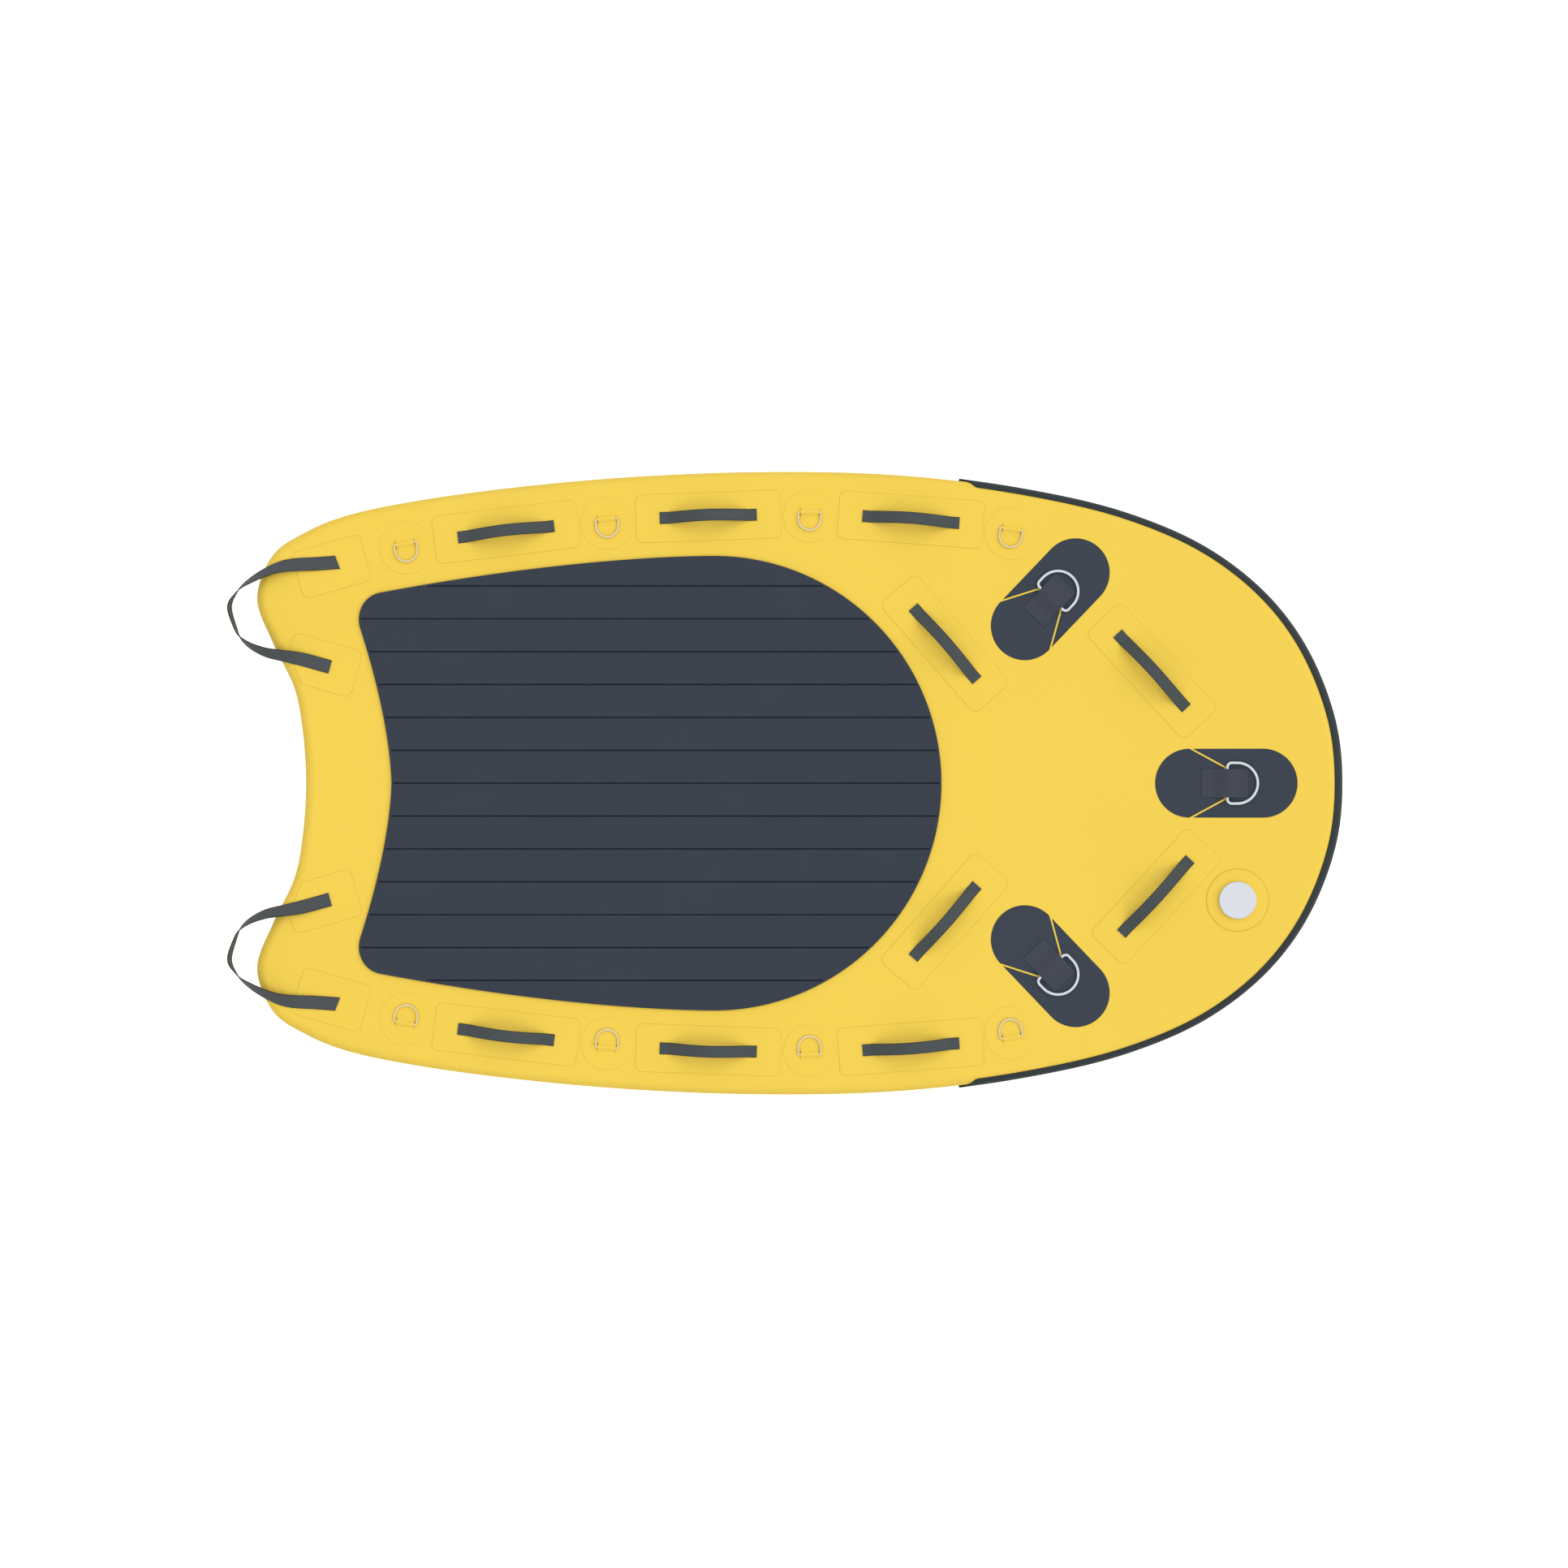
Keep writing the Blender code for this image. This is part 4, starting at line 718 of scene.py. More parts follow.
pad = bmesh.new()
pull_up(pad, [pad.faces.new(draw_outline(pad, pad_line(), pad_low)[0])], PAD_THICKNESS)
planks = [next(f for f in pad.faces if f.calc_center_median().z > pad_top - SAME)]
bmesh.ops.inset_region(pad, faces=planks, thickness=PAD_BORDER, use_even_offset=True)
groove_count = int(max(v.co.y for v in pad.verts) / GROOVE_PITCH)
for k in range(-groove_count, groove_count + 1):
    for y in (k * GROOVE_PITCH - GROOVE_WIDTH / 2, k * GROOVE_PITCH + GROOVE_WIDTH / 2):
        around = {e for f in planks for e in f.edges} | {v for f in planks for v in f.verts} | set(planks)
        cut = bmesh.ops.bisect_plane(pad, geom=list(around), dist=SAME,
                                     plane_co=(0, y, 0), plane_no=(0, 1, 0))
        planks = of_kind(cut["geom"], bmesh.types.BMFace)
grooves = [f for f in planks
           if abs((f.calc_center_bounds().y + GROOVE_PITCH / 2) % GROOVE_PITCH - GROOVE_PITCH / 2)
           < GROOVE_WIDTH / 4]
pull_up(pad, grooves, -GROOVE_DEPTH)
bmesh.ops.delete(pad, geom=[f for f in grooves if f.is_valid], context="FACES_ONLY")
rims = [e for e in folds(pad) if min(v.co.z for v in e.verts) > pad_top - SAME]
outer_rim = [e for e in rims if min(v.co.z for f in e.link_faces for v in f.verts) < pad_low + SAME]
soften(pad, [e for e in rims if e not in outer_rim], GROOVE_EDGE)
soften(pad, [e for e in outer_rim if e.is_valid], PAD_EDGE, segments=3)
planked_pad = finish_piece("planked_pad", pad, foam, "deck_pad")

# Grab handles
# Woven polyester webbing, arched up so that a gloved hand fits under it, with its flat feet welded
# to a rounded patch of hull cloth that is itself glued to the deck.
HANDLE_LENGTH = 0.204
FORE_HANDLE_LENGTH = 0.214      # the inner pair beside the bow ring
HANDLE_ARCH = 0.042
HANDLE_FOOT = 0.018
HANDLE_FULLNESS = 1.1
HANDLE_STEPS = 48
WEBBING_WIDTH = 0.025
WEBBING = 0.0025
WEBBING_STEPS = 6
PATCH = 0.0012
PATCH_RIM = 0.0002
PATCH_EDGE = 0.0013
PATCH_CORNER = 0.015
PATCH_CORNER_STEPS = 10
HANDLE_PATCH_LENGTH = 0.306
RIB_PITCH = 0.0030              # webbing's real ribs lie 1.2 mm apart, too fine to show
SELVEDGE_AND_SHADE = 0.0022


def woven_webbing(name, thread, shade, edge_binding_and_shade, width):
    """Polyester webbing: matt ribs across it, threads along it, and a darker edge that is partly its binding
    and partly painted shade.
    """
    material, tree, shader = new_finish(name, roughness=0.8, specular=0.2)[:3]
    shader.inputs["Sheen Weight"].default_value = 0.1
    strap = add_node(tree, "ShaderNodeUVMap", {"uv_map": "strap"}).outputs[0]
    ribs = add_node(tree, "ShaderNodeTexWave",
                    {"bands_direction": "X", "Scale": bands(RIB_PITCH), "Distortion": 0.6, "Detail": 1.0},
                    {"Vector": strap})
    ends = add_node(tree, "ShaderNodeTexWave",
                    {"bands_direction": "Y", "Scale": bands(RIB_PITCH), "Distortion": 0.3},
                    {"Vector": strap})
    cloth = add_node(tree, "ShaderNodeMath", {"operation": "MULTIPLY"},
                     {0: ribs.outputs["Fac"], 1: ends.outputs["Fac"]})
    body = add_node(tree, "ShaderNodeMix", {"data_type": "RGBA", 6: linear(shade), 7: linear(thread)},
                    {0: cloth.outputs[0]})
    across = add_node(tree, "ShaderNodeSeparateXYZ", links={0: strap}).outputs[1]
    off_middle = add_node(tree, "ShaderNodeMath", {"operation": "ABSOLUTE"}, {0: across})
    # The strap's sides darken towards the edge colour: its binding, with painted shade.
    binding_and_shade = add_node(tree, "ShaderNodeMapRange",
                     {"From Min": width / 2 - SELVEDGE_AND_SHADE, "From Max": width / 2 - SELVEDGE_AND_SHADE / 3},
                     {"Value": off_middle.outputs[0]})
    colour = add_node(tree, "ShaderNodeMix", {"data_type": "RGBA", 7: linear(edge_binding_and_shade)},
                      {0: binding_and_shade.outputs[0], 6: body.outputs[2]})
    tree.links.new(colour.outputs[2], shader.inputs["Base Color"])
    raise_bumps(tree, shader, cloth.outputs[0], distance=0.0002, strength=0.3)
    return material


def strap_section(width):
    """Flat section of webbing, with round edges."""
    rounding = WEBBING / 2
    right = arc((width / 2 - rounding, 0), rounding, -90, 90, WEBBING_STEPS)
    left = arc((rounding - width / 2, 0), rounding, 90, 270, WEBBING_STEPS)
    top = [right[-1].lerp(left[0], i / WEBBING_STEPS) for i in range(1, WEBBING_STEPS)]
    low = [left[-1].lerp(right[0], i / WEBBING_STEPS) for i in range(1, WEBBING_STEPS)]
    return right + top + left + low


def run_at(line, i):
    """Way along a line of points at one of them."""
    return line[min(i + 1, len(line) - 1)] - line[max(i - 1, 0)]


def webbing_strap(centres, ups, width, slant=0.0):
    """Strap along a line of points, square to the ups given for them, with its UV map in metres. Its
    first end is cut aslant by a share of its width."""
    stations = []
    for i, (centre, up) in enumerate(zip(centres, ups)):
        along = run_at(centres, i).normalized()
        side = up.cross(along).normalized()
        rise = along.cross(side)
        if i == 0:
            side = side + along * slant
        stations.append((centre, side, rise))
    section = strap_section(width)
    bm = pull_along(section, stations)
    uv = bm.loops.layers.uv.new("strap")
    place_layer = bm.verts.layers.int["place"]
    reach_layer = bm.verts.layers.float["reach"]
    close_ends(bm)
    for face in bm.faces:
        for loop in face.loops:
            loop[uv].uv = (loop.vert[reach_layer], section[loop.vert[place_layer]].x)
    return bm


def rounded_rectangle(length, width):
    """Patch's outline centred on the origin, counter-clockwise."""
    outline = []
    for sx, sy, start in ((1, 1, 0), (-1, 1, 90), (-1, -1, 180), (1, -1, 270)):
        centre = (sx * (length / 2 - PATCH_CORNER), sy * (width / 2 - PATCH_CORNER))
        outline += arc(centre, PATCH_CORNER, start, start + 90, PATCH_CORNER_STEPS)
    return outline


def patch_plate(outline, shade=1.0):
    """Cloth patch that lies on z = 0, its edge skived down to a thin rim marked for the darker edge line of
    glue and painted shade, at a share of full strength.
    """
    bm = bmesh.new()
    pull_up(bm, [bm.faces.new(draw_outline(bm, outline, 0.0)[0])], PATCH_RIM)
    top = [f for f in bm.faces if f.calc_center_median().z > PATCH_RIM - SAME]
    bmesh.ops.recalc_face_normals(bm, faces=bm.faces)
    bmesh.ops.inset_region(bm, faces=top, thickness=PATCH_EDGE, depth=PATCH - PATCH_RIM, use_even_offset=True)
    # The rim is marked for the darker edge line, partly glue and partly painted shade.
    glue_and_painted_shade_edge = bm.verts.layers.float.new("glue_and_painted_shade_edge")
    for v in bm.verts:
        v[glue_and_painted_shade_edge] = shade if v.co.z < PATCH - SAME else 0.0
    return bm


def flat_frame(spot, heading):
    """Frame on the flat deck at a place in plan, turned to a heading in radians."""
    return Matrix.Translation((spot.x, spot.y, THICKNESS)) @ Matrix.Rotation(heading, 4, "Z")


def lay_on_deck(name, shape, lie, cloth, node):
    """Puts a shape drawn on z = 0 in its place on the deck, rolled with the bow."""
    bmesh.ops.transform(shape, matrix=lie, verts=shape.verts)
    roll_bow(shape)
    finish_piece(name, shape, cloth, node)


def lie_of(node):
    """Frame on the flat deck at a long CAD piece's middle, turned to its long side."""
    spots = {(round(v.co.x, 5), round(v.co.y, 5)) for v in frame["nodes"][node].data.vertices}
    low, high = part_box(node)
    middle = (low + high) / 2
    xx = sum((x - middle.x) ** 2 for x, y in spots)
    yy = sum((y - middle.y) ** 2 for x, y in spots)
    xy = sum((x - middle.x) * (y - middle.y) for x, y in spots)
    return flat_frame(unrolled(Vector((middle.x, middle.y, low.z))), math.atan2(2 * xy, xx - yy) / 2)


def places_of(kind):
    """Endings of the names of all nodes of one kind, such as port_1."""
    return sorted(n.removeprefix(kind) for n in frame["nodes"] if n.startswith(kind))


# 36382F is the edge colour: the webbing's binding and painted shade.
grey_webbing = woven_webbing("grey_handle_webbing", "4C5255", "484E51", "36382F", WEBBING_WIDTH)


def handle_strap(length):
    """Arched strap on its own frame, feet on the patch."""
    seat = PATCH + WEBBING / 2
    span = length - 2 * HANDLE_FOOT
    centres = [Vector((-length / 2, 0, seat))]
    for i in range(HANDLE_STEPS + 1):
        share = i / HANDLE_STEPS
        rise = HANDLE_ARCH * math.sin(math.pi * share) ** HANDLE_FULLNESS
        centres.append(Vector((span * (share - 0.5), 0, seat + rise)))
    centres.append(Vector((length / 2, 0, seat)))
    ups = [run_at(centres, i).cross(Vector((0, -1, 0))).normalized() for i in range(len(centres))]
    return webbing_strap(centres, ups, WEBBING_WIDTH)


for ending in places_of("grab_handle_"):
    lie = lie_of("grab_handle_" + ending)
    patch = patch_plate(rounded_rectangle(HANDLE_PATCH_LENGTH, HANDLE_PATCH_WIDTH))
    lay_on_deck("handle_base_" + ending, patch, lie, yellow_cloth, "handle_patch_" + ending)
    strap = handle_strap(FORE_HANDLE_LENGTH if ending.endswith("inner_fore") else HANDLE_LENGTH)
    lay_on_deck("handle_" + ending, strap, lie, grey_webbing, "grab_handle_" + ending)

# Deck rings
# Small D-rings of bent and welded stainless wire. Each swings on its straight bar, which lies under
# the tab of a round patch of hull cloth.
RING_PATCH_DIAMETER = 0.112
RING_PATCH_STEPS = 72
RING_PATCH_SHADE = 0.25
RING_WIDTH = 0.052
RING_DEPTH = 0.043
RING_WIRE = 0.005
RING_CORNER = 0.0045
RING_OFFSET = 0.0085
RING_BOW_STEPS = 40
RING_CORNER_STEPS = 8
WIRE_STEPS = 16
WIRE_SCUFF = 1 / 700
TAB_WIDTH = 0.037
TAB_WINGS = (0.016, 0.013)
TAB = 0.0008
TAB_HUMP = 0.011
TAB_STEPS = 40
TAB_SOFTNESS = 0.3              # share of its thickness that is rounded off
BAR_CLEARANCE = 0.0005


def drawn_wire(name, dark, light, smoothest, roughest):
    """Drawn stainless wire, barrel polished, with slight unevenness in its gloss."""
    material, tree, shader, place = clouded_finish(name, dark, light, cloud=0.02, roughness=roughest,
                                                   metallic=1.0)
    scuffs = add_node(tree, "ShaderNodeTexNoise", {"Scale": 1 / WIRE_SCUFF, "Detail": 3.0}, {"Vector": place})
    gloss = add_node(tree, "ShaderNodeMapRange", {"To Min": smoothest, "To Max": roughest},
                     {"Value": scuffs.outputs[0]})
    tree.links.new(gloss.outputs[0], shader.inputs["Roughness"])
    return material


bright_steel = drawn_wire("polished_stainless_steel", "CDD5DE", "DDE4EC", smoothest=0.10, roughest=0.26)
# Its cream colour is a painted reflection of the yellow deck on satin steel.
steel_painted_deck_reflection = drawn_wire("satin_steel_painted_deck_reflection", "E1D3A6", "EBDFB8", smoothest=0.30, roughest=0.42)


def join_shapes(*shapes):
    """One bmesh of several, which it uses up."""
    joined = bmesh.new()
    for shape in shapes:
        mesh = bpy.data.meshes.new("shape")
        shape.to_mesh(mesh)
        shape.free()
        joined.from_mesh(mesh)
        bpy.data.meshes.remove(mesh)
    return joined


def strap_over_bar(width, thickness, wings, wire, hump):
    """Strap that lies on a patch and humps over a bar on the Y axis, the hump's half length given."""
    rise = wire + 2 * BAR_CLEARANCE

    def height(x):
        return rise * (0.5 + 0.5 * math.cos(math.pi * x / hump)) if abs(x) < hump else 0.0

    runs = [-wings[0] + (wings[0] + wings[1]) * i / TAB_STEPS for i in range(TAB_STEPS + 1)]
    section = [Vector((x, height(x))) for x in runs]
    section += [Vector((x, height(x) + thickness)) for x in reversed(runs)]
    origins = [Vector((0, y, 0)) for y in (-width / 2, 0, width / 2)]
    bm = pull_along(section, [(origin, Vector((1, 0, 0)), UP) for origin in origins])
    close_ends(bm)
    soften(bm, folds(bm), thickness * TAB_SOFTNESS)
    bmesh.ops.translate(bm, verts=bm.verts, vec=(0, 0, PATCH))
    return bm


def upright(spot, side, up):
    """Frame at a spot, its Y axis to one side and its Z axis up."""
    return Matrix.Translation(spot) @ Matrix((side.cross(up), side, up)).transposed().to_4x4()


def ring_lies(ring):
    """Frames of a ring's bar, on the flat deck and on the finished deck."""
    joint = joints[ring + "_swing"]
    spot = Vector(joint["pos_m"])
    bar = -Vector(joint["axis"])
    slope = math.atan2(max(spot.x - ROCKER_X, 0), THICKNESS / 2 + ROCKER_RADIUS - spot.z)
    forward = Vector((math.cos(slope), 0, math.sin(slope)))
    up = Vector((-math.sin(slope), 0, math.cos(slope)))
    heading = math.atan2(-bar.dot(forward), bar.y)
    return flat_frame(unrolled(spot), heading), upright(spot, bar, up)


def make_ring(ring, lie, width, depth, wire, corner, steel):
    """D-ring on its own body, with its bar on its frame's Y axis and its bow towards +X."""
    half = (width - wire) / 2
    path = arc((corner, half - corner), corner, 180, 90, RING_CORNER_STEPS)
    path += arc((depth - wire - half, 0), half, 90, -90, RING_BOW_STEPS)
    path += arc((corner, corner - half), corner, 270, 180, RING_CORNER_STEPS)
    path = [p for i, p in enumerate(path) if (p - path[i - 1]).length > SAME]
    shape = pull_along(circle((0, 0), wire, WIRE_STEPS), round_stations(path[::-1]))
    bmesh.ops.transform(shape, matrix=lie, verts=shape.verts)
    finish_piece(ring + "_wire", shape, steel, ring, ring)


for ending in places_of("deck_ring_"):
    flat_lie, lie = ring_lies("deck_ring_" + ending)
    make_ring("deck_ring_" + ending, lie, RING_WIDTH, RING_DEPTH, RING_WIRE, RING_CORNER, steel_painted_deck_reflection)
    disc = circle((RING_OFFSET, 0), RING_PATCH_DIAMETER, RING_PATCH_STEPS)
    base = join_shapes(patch_plate(disc, RING_PATCH_SHADE),
                       strap_over_bar(TAB_WIDTH, TAB, TAB_WINGS, RING_WIRE, TAB_HUMP))
    lay_on_deck("ring_base_" + ending, base, flat_lie, yellow_cloth, "ring_patch_" + ending)

# Towing rings
# Heavier D-rings on dark patches of coated cloth in two parts, a teardrop with the strap that holds
# the bar and a round base ahead of it, so that a towing line's pull spreads over the deck.
TOW_WIDTH = 0.092
TOW_DEPTH = 0.070
TOW_WIRE = 0.007
TOW_CORNER = 0.009
TOW_PATCH_RADIUS = 0.0722
TOW_PATCH_SPAN = 0.155
TOW_PATCH_STEPS = 48
TOW_BAR = 0.080
TOW_STRAP_WIDTH = 0.060
TOW_STRAP = 0.002
TOW_STRAP_WINGS = (0.054, 0.044)
TOW_HUMP = 0.034
TOW_NECK_WIDTH = 0.065
TOW_NECK_GAP = 0.0035
TOW_NECK_END = 0.0068

# The last colours are these patches' edge lines: glue and painted shade.
dark_cloth = coated_cloth("dark_grey_pvc_cloth", "343C48", "38404B", "2B333C", roughness=0.6, specular=0.2)
strap_cloth = coated_cloth("dark_strap_cloth", "3D414D", "40444F", "2F333C", roughness=0.65, specular=0.2)


def tow_patch():
    """Teardrop and base, with the bar on the Y axis."""
    half = TOW_NECK_WIDTH / 2
    radius = TOW_PATCH_RADIUS
    neck = Vector((TOW_BAR - TOW_NECK_END, half))
    teardrop = arc((0, 0), radius, 90, 270, TOW_PATCH_STEPS) + [Vector((neck.x, -half)), neck]
    widest = Vector((0, radius))
    slope = (neck - widest).normalized()
    shift = Vector((-slope.y, slope.x)) * TOW_NECK_GAP
    start = widest + shift
    start += slope * ((radius - start.y) / slope.y)
    root = neck + shift + slope * TOW_NECK_GAP
    base = arc((TOW_PATCH_SPAN, 0), radius, -90, 90, TOW_PATCH_STEPS)
    base += [start, root, Vector((root.x, -root.y)), Vector((start.x, -start.y))]
    joined = join_shapes(patch_plate(teardrop), patch_plate(base))
    bmesh.ops.translate(joined, verts=joined.verts, vec=(-TOW_BAR, 0, 0))
    return joined


for ending in places_of("tow_ring_"):
    flat_lie, lie = ring_lies("tow_ring_" + ending)
    make_ring("tow_ring_" + ending, lie, TOW_WIDTH, TOW_DEPTH, TOW_WIRE, TOW_CORNER, bright_steel)
    strap = strap_over_bar(TOW_STRAP_WIDTH, TOW_STRAP, TOW_STRAP_WINGS, TOW_WIRE, TOW_HUMP)
    patch_node = "tow_patch_" + ending
    lay_on_deck("tow_base_" + ending, tow_patch(), flat_lie, dark_cloth, patch_node)
    lay_on_deck("tow_strap_" + ending, strap, flat_lie, strap_cloth, patch_node)

# Stern loops
# Wider webbing in a loop past each tail, to be grabbed from the water. Its outer foot lies flat, and
# the strap turns onto its edge round the end of the loop and back onto its inner foot.
LOOP_OVERHANG = 0.0485
LOOP_FOOT = 0.178
LOOP_HALF_SPREAD = 0.110
LOOP_CENTRE = 0.5477
LOOP_WIDTH = 0.0286
LOOP_STEPS = 8
LOOP_SLANT = -0.30              # slope of the cut at the outer foot's end
# Route from the outer foot round to the inner foot: share of the way aft, share of the half spread
# (outboard positive), and twist of the webbing in degrees.
LOOP_ROUTE = (
    (0.000, 0.93, 0), (0.199, 0.90, 5), (0.400, 0.88, 15), (0.600, 0.79, 39), (0.803, 0.58, 61),
    (0.939, 0.34, 84), (1.000, 0.01, 99), (0.953, -0.30, 95), (0.868, -0.58, 74),
    (0.671, -0.79, 48), (0.499, -0.86, 33), (0.300, -0.94, 10), (0.070, -1.07, 0),
)
LOOP_PATCH_LENGTH = 0.150
LOOP_PATCH_WIDTH = 0.102
LOOP_PATCH_EDGE = 0.012
LOOP_PATCH_TILT = 16.0
LOOP_PATCHES = {"outer": (0.237, 0.114), "inner": (0.218, -0.134)}
TRIM_STEPS = 12
TRIM_GAP = 0.0008

# 3A3C35 is the edge colour: the webbing's binding and painted shade.
loop_webbing = woven_webbing("grey_loop_webbing", "4F5356", "4B4F52", "3A3C35", LOOP_WIDTH)


def loop_strap():
    """Port loop: its centre line stands just high enough for its lower edge to clear the patch."""
    centre_y = LOOP_CENTRE * HALF_BEAM
    foot_x = STERN_X + LOOP_FOOT
    apex_twist = math.radians(max(twist for aft, out, twist in LOOP_ROUTE))
    reach = LOOP_FOOT + LOOP_OVERHANG - LOOP_WIDTH / 2 * abs(math.cos(apex_twist))
    route = [Vector((foot_x - aft * reach, centre_y + out * LOOP_HALF_SPREAD, math.radians(twist)))
             for aft, out, twist in LOOP_ROUTE]
    curve = smooth_line(route, LOOP_STEPS, False)
    centres = []
    ups = []
    for i, point in enumerate(curve):
        twist = point.z
        low_edge = LOOP_WIDTH / 2 * math.sin(twist) + WEBBING / 2 * abs(math.cos(twist))
        centres.append(Vector((point.x, point.y, THICKNESS + PATCH + low_edge)))
        along = run_at(curve, i)
        outside = Vector((along.y, -along.x, 0)).normalized()
        ups.append(UP * math.cos(twist) + outside * math.sin(twist))
    return webbing_strap(centres, ups, LOOP_WIDTH, LOOP_SLANT)


def drawn_inside(points, limit):
    """Outline with each point that lies outside a limit moved onto the limit."""
    trimmed = []
    for start, end in zip(points, points[1:] + points[:1]):
        for i in range(TRIM_STEPS):
            p = start.lerp(end, i / TRIM_STEPS)
            crossings = sum((a.y > p.y) != (b.y > p.y) and p.x < a.x + (b.x - a.x) * (p.y - a.y) / (b.y - a.y)
                            for a, b in zip(limit, limit[1:] + limit[:1]))
            if crossings % 2 == 0:
                p = min(limit, key=lambda q: (q - p).length)
            if not trimmed or (p - trimmed[-1]).length > TRIM_GAP:
                trimmed.append(p.copy())
    return trimmed


def loop_patch(ahead_of_tail, offset):
    """Port patch under one foot of the loop, trimmed where the deck's edge comes first."""
    spot = Vector((STERN_X + ahead_of_tail, LOOP_CENTRE * HALF_BEAM + offset))
    lie = flat_frame(spot, math.radians(LOOP_PATCH_TILT if offset > 0 else -LOOP_PATCH_TILT))
    spots = [(lie @ Vector((p.x - LOOP_PATCH_LENGTH / 2, p.y, 0))).xy
             for p in rounded_rectangle(LOOP_PATCH_LENGTH, LOOP_PATCH_WIDTH)]
    bm = patch_plate(drawn_inside(spots, moved_out(deck_line, -LOOP_PATCH_EDGE)))
    bmesh.ops.translate(bm, verts=bm.verts, vec=(0, 0, THICKNESS))
    return bm


for side_name, mirror in (("port", 1), ("starboard", -1)):
    pieces = [(loop_strap(), "tail_loop_" + side_name, loop_webbing, "webbing", "stern_loop_" + side_name)]
    for foot, (ahead_of_tail, offset) in LOOP_PATCHES.items():
        ending = side_name + "_" + foot
        pieces.append((loop_patch(ahead_of_tail, offset), "tail_loop_base_" + ending, yellow_cloth,
                       "deck_fabric", "stern_loop_patch_" + ending))
    for shape, name, cloth, slot, node in pieces:
        bmesh.ops.scale(shape, verts=shape.verts, vec=(1, mirror, 1))
        finish_piece(name, shape, cloth, node)

# Inflation valve
# A spring valve of moulded nylon, clamped through the deck by a nut on its neck. A pump or a finger
# pushes the plunger's button down against the spring, and a flat rubber ring seals under the cap.
VALVE_PATCH_RADIUS = 0.0665
VALVE_PATCH_EDGE = 0.0032
CAP_RADIUS = 0.039
CAP_WALL = 0.0025
CAP_TOP = 0.003
CAP_ROUNDING = 0.0028
CAP_ROUNDING_STEPS = 8
CAP_DISH = 0.0004
FLANGE_RADIUS = 0.0355
FLANGE = 0.0040
SEAL = 0.002
SEAL_RADII = (0.0260, 0.0320)
SEAL_EDGE = 0.0003
NECK_RADIUS = 0.026
THROAT_RADIUS = 0.022
NECK_DEPTH = 0.034
NUT_RADIUS = 0.034
NUT = 0.006
SEAT_RADIUS = 0.017
SEAT = 0.0025
SPIDER = 0.003
SPIDER_DROP = 0.014
SPOKE = 0.0035
SPOKES = 3
HUB_RADIUS = 0.006
STEM_RADIUS = 0.0025
STEM_CLEARANCE = 0.0004
BUTTON_RADIUS = 0.006
BUTTON = 0.003
BUTTON_DROP = 0.0005
DISC_RADIUS = 0.0195
DISC = 0.003
SPRING_WIRE = 0.0009
SPRING_WIRE_STEPS = 8
SPRING_RADIUS = 0.00415         # to the middle of the wire
SPRING_TURNS = 4
SPRING_TURN_STEPS = 24
MOULDED_EDGE = 0.0004
WIDE_TURN_STEPS = 96
NECK_TURN_STEPS = 72
PLUNGER_TURN_STEPS = 48
HUB_TURN_STEPS = 36
SPARK_GRAIN = 1 / 1500

valve_up = Vector(valve_joint["axis"]).normalized()
valve_frame = upright(valve_spot, Vector((0, 1, 0)), valve_up)


def moulded_plastic(name, dark, light):
    """Injection-moulded plastic: even colour, satin from a fine spark-eroded mould."""
    material, tree, shader, place = clouded_finish(name, dark, light, cloud=0.03, roughness=0.42)
    raise_grain(tree, shader, place, SPARK_GRAIN, detail=1.0, distance=0.00008, strength=0.4)
    return material


def turned(profile, steps, soft=MOULDED_EDGE):
    """Turned piece of a closed profile of (radius, height) points, its sharp edges rounded a little."""
    bm = bmesh.new()
    ring = [bm.verts.new((r, 0, z)) for r, z in profile]
    for pair in zip(ring, ring[1:] + ring[:1]):
        if pair[0].co.x > 0 or pair[1].co.x > 0:
            bm.edges.new(pair)
    bmesh.ops.spin(bm, geom=bm.verts[:] + bm.edges[:], cent=(0, 0, 0), axis=(0, 0, 1),
                   angle=math.tau, steps=steps, use_merge=True)
    bmesh.ops.remove_doubles(bm, verts=bm.verts, dist=SAME)
    soften(bm, folds(bm), soft)
    return bm


def seat_valve_piece(name, shape, material, node, body="hull"):
    """Puts a piece drawn on the valve's own axis in its place in the deck."""
    bmesh.ops.transform(shape, matrix=valve_frame, verts=shape.verts)
    return finish_piece(name, shape, material, node, body)


cap_plastic = moulded_plastic("pale_grey_nylon", "D8DBE3", "DDE0E8")
body_plastic = moulded_plastic("grey_nylon", "7F868B", "888F94")

# Seal rubber: black, soft and quite matt.
seal_rubber = clouded_finish("seal_rubber", "232527", "2D3032", cloud=0.01, roughness=0.7,
                             specular=0.4)[0]

# The round patch under the valve's flange, with the bore through it.
full_radius = VALVE_PATCH_RADIUS - VALVE_PATCH_EDGE
valve_base = turned([(BORE / 2, 0), (VALVE_PATCH_RADIUS, 0), (VALVE_PATCH_RADIUS, PATCH_RIM),
                     (full_radius, PATCH), (BORE / 2, PATCH)], WIDE_TURN_STEPS, PATCH_RIM / 2)
# The valve patch's outer rim gets the darker edge line, partly glue and partly painted shade.
glue_and_painted_shade_edge = valve_base.verts.layers.float.new("glue_and_painted_shade_edge")
for v in valve_base.verts:
    v[glue_and_painted_shade_edge] = float(v.co.xy.length > full_radius + VALVE_PATCH_EDGE / 2)
lay_on_deck("valve_base", valve_base, flat_frame(unrolled(valve_spot), 0), yellow_cloth,
            "valve_patch")

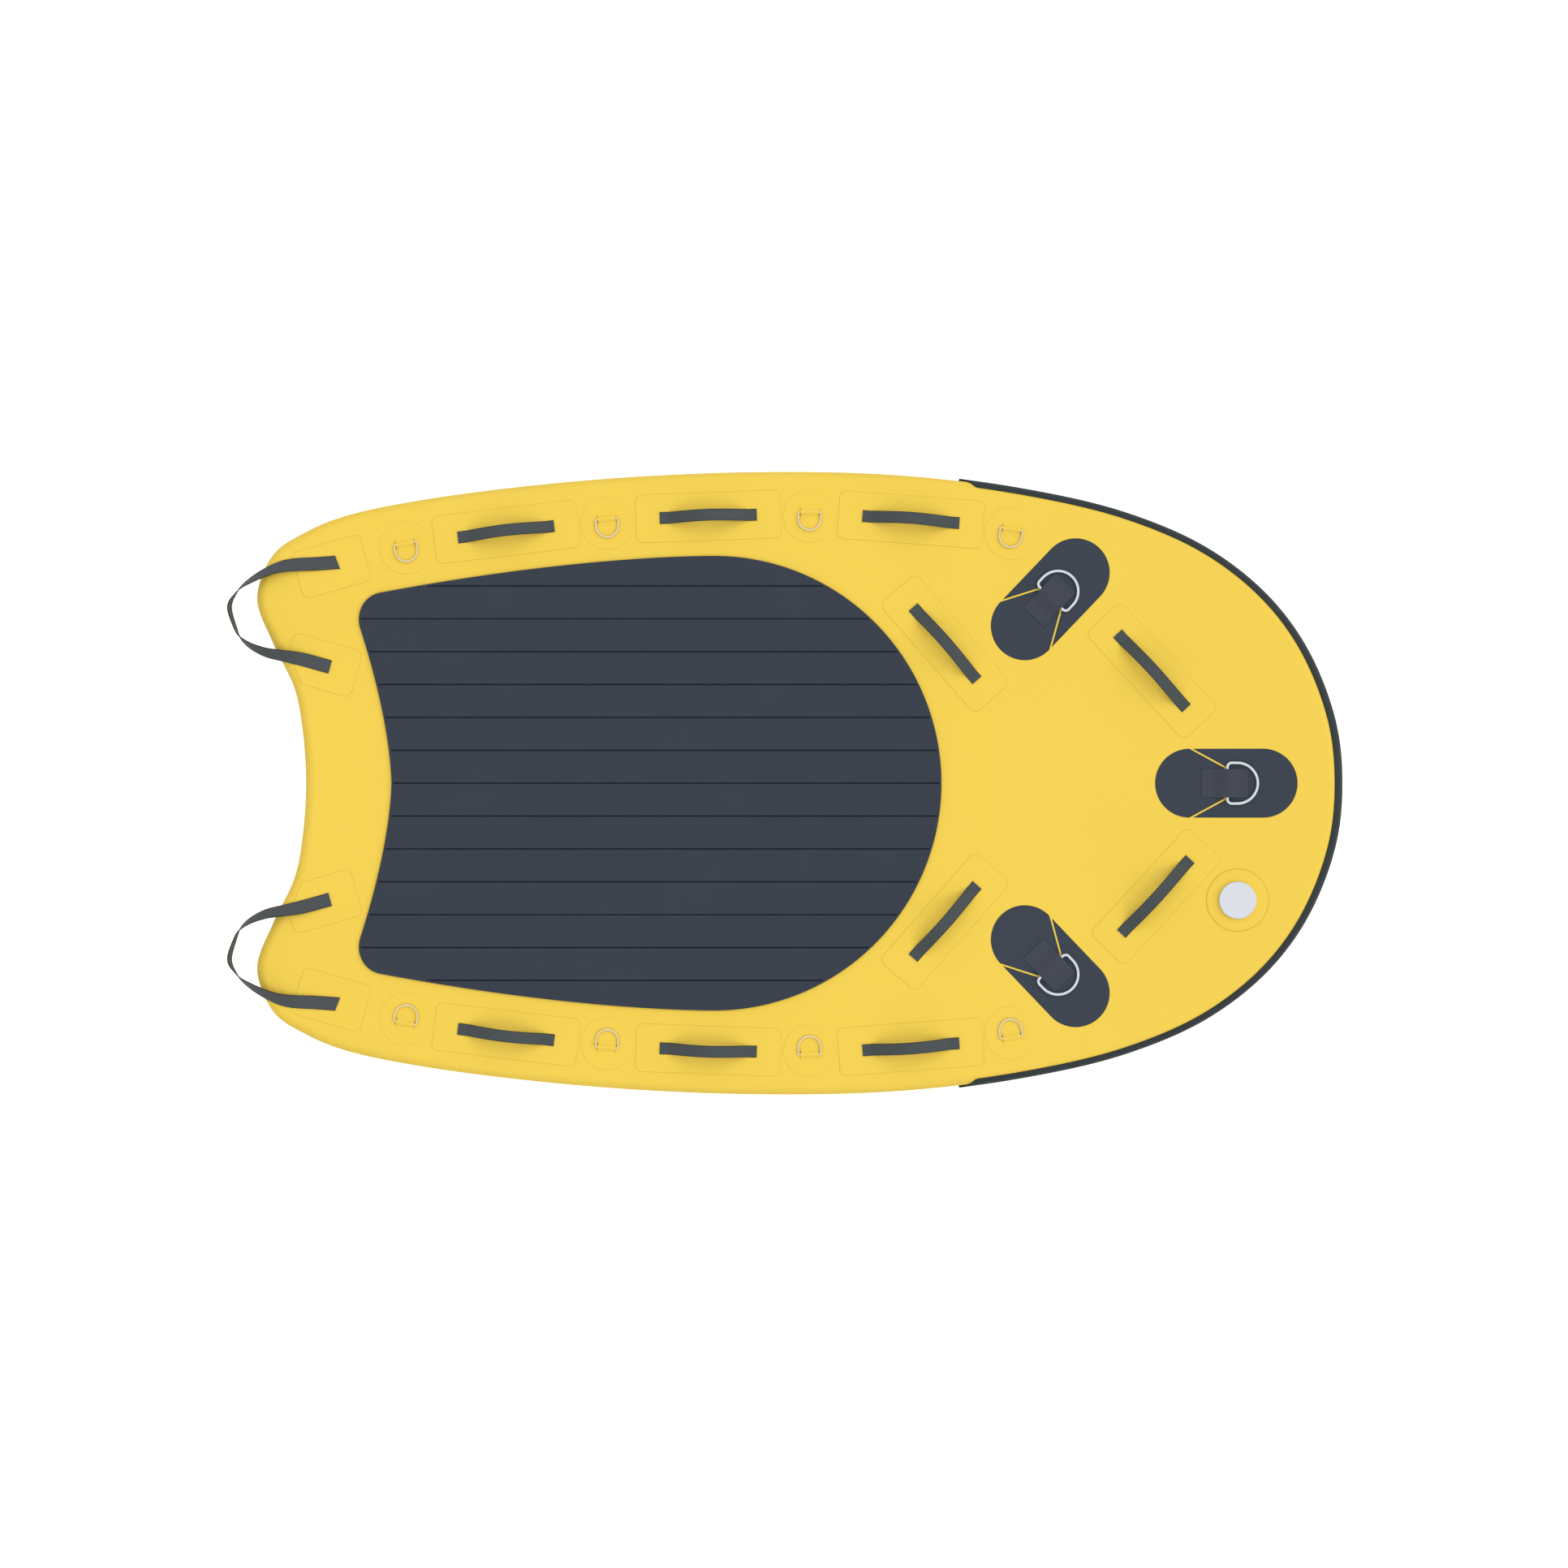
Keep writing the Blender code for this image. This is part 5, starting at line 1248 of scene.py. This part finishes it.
# Heights are above the deck, square to it.
seat = 2 * FIT + PATCH
top = seat + FLANGE
bottom = seat - NECK_DEPTH
nut_top = -SKIN - FIT
nut_low = nut_top - NUT
neck = turned([(THROAT_RADIUS, top), (FLANGE_RADIUS, top), (FLANGE_RADIUS, seat - FIT),
               (NECK_RADIUS, seat - FIT), (NECK_RADIUS, nut_top), (NUT_RADIUS, nut_top),
               (NUT_RADIUS, nut_low), (NECK_RADIUS, nut_low), (NECK_RADIUS, bottom),
               (SEAT_RADIUS, bottom), (SEAT_RADIUS, bottom + SEAT), (THROAT_RADIUS, bottom + SEAT)],
              NECK_TURN_STEPS)
seat_valve_piece("valve_neck_and_nut", neck, body_plastic, "valve_body")

hub_top = top - SPIDER_DROP
hub_low = hub_top - SPIDER
stem_hole = STEM_RADIUS + STEM_CLEARANCE
spider = turned([(stem_hole, hub_top), (HUB_RADIUS, hub_top), (HUB_RADIUS, hub_low), (stem_hole, hub_low)],
                HUB_TURN_STEPS)
size = Matrix.Diagonal((THROAT_RADIUS - HUB_RADIUS + 2 * MOULDED_EDGE, SPOKE, SPIDER - 2 * MOULDED_EDGE, 1))
middle = Matrix.Translation(((THROAT_RADIUS + HUB_RADIUS) / 2, 0, (hub_top + hub_low) / 2))
for k in range(SPOKES):
    turn = Matrix.Rotation(math.tau * k / SPOKES, 4, "Z")
    bmesh.ops.create_cube(spider, size=1.0, matrix=turn @ middle @ size)
seat_valve_piece("valve_spider", spider, body_plastic, "valve_body")

button_top = top - BUTTON_DROP
button_low = button_top - BUTTON
disc_top = bottom - FIT
disc_low = disc_top - DISC
plunger = turned([(0, button_top), (BUTTON_RADIUS, button_top), (BUTTON_RADIUS, button_low),
                  (STEM_RADIUS, button_low), (STEM_RADIUS, disc_top), (DISC_RADIUS, disc_top),
                  (DISC_RADIUS, disc_low), (0, disc_low)], PLUNGER_TURN_STEPS)
seat_valve_piece("plunger", plunger, cap_plastic, "valve_plunger", "valve_plunger")

spring_low = hub_top + FIT
spring_room = button_low - FIT - spring_low
coil = []
spring_steps = SPRING_TURNS * SPRING_TURN_STEPS
for i in range(spring_steps + 1):
    angle = math.tau * i / SPRING_TURN_STEPS
    z = spring_low + SPRING_WIRE / 2 + (spring_room - SPRING_WIRE) * i / spring_steps
    out = Vector((math.cos(angle), math.sin(angle), 0))
    coil.append((out * SPRING_RADIUS + UP * z, out, UP))
spring = pull_along(circle((0, 0), SPRING_WIRE, SPRING_WIRE_STEPS), coil)
close_ends(spring)
spring_piece = seat_valve_piece("coil_spring", spring, bright_steel, "valve_spring")
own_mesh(spring_piece)

seal_low = top + FIT
seal_top = seal_low + SEAL
seal_in, seal_out = SEAL_RADII
seal = turned([(seal_in, seal_low), (seal_out, seal_low), (seal_out, seal_top), (seal_in, seal_top)],
              NECK_TURN_STEPS, SEAL_EDGE)
seat_valve_piece("cap_seal", seal, seal_rubber, "valve_cap_seal", "valve_cap_seal")

under = seal_top + FIT
inside = CAP_RADIUS - CAP_WALL
skirt = seat + MOULDED_EDGE
dish = under + CAP_TOP - CAP_DISH
rim_middle = (CAP_RADIUS - CAP_ROUNDING, under + CAP_TOP - CAP_ROUNDING)
rim = arc(rim_middle, CAP_ROUNDING, 0, 90, CAP_ROUNDING_STEPS)
cap = turned([(0, under), (inside, under), (inside, skirt), (CAP_RADIUS, skirt)] + rim
             + [(CAP_RADIUS - 2 * CAP_ROUNDING, dish), (0, dish)], WIDE_TURN_STEPS)
seat_valve_piece("screw_cap", cap, cap_plastic, "valve_cap", "valve_cap")
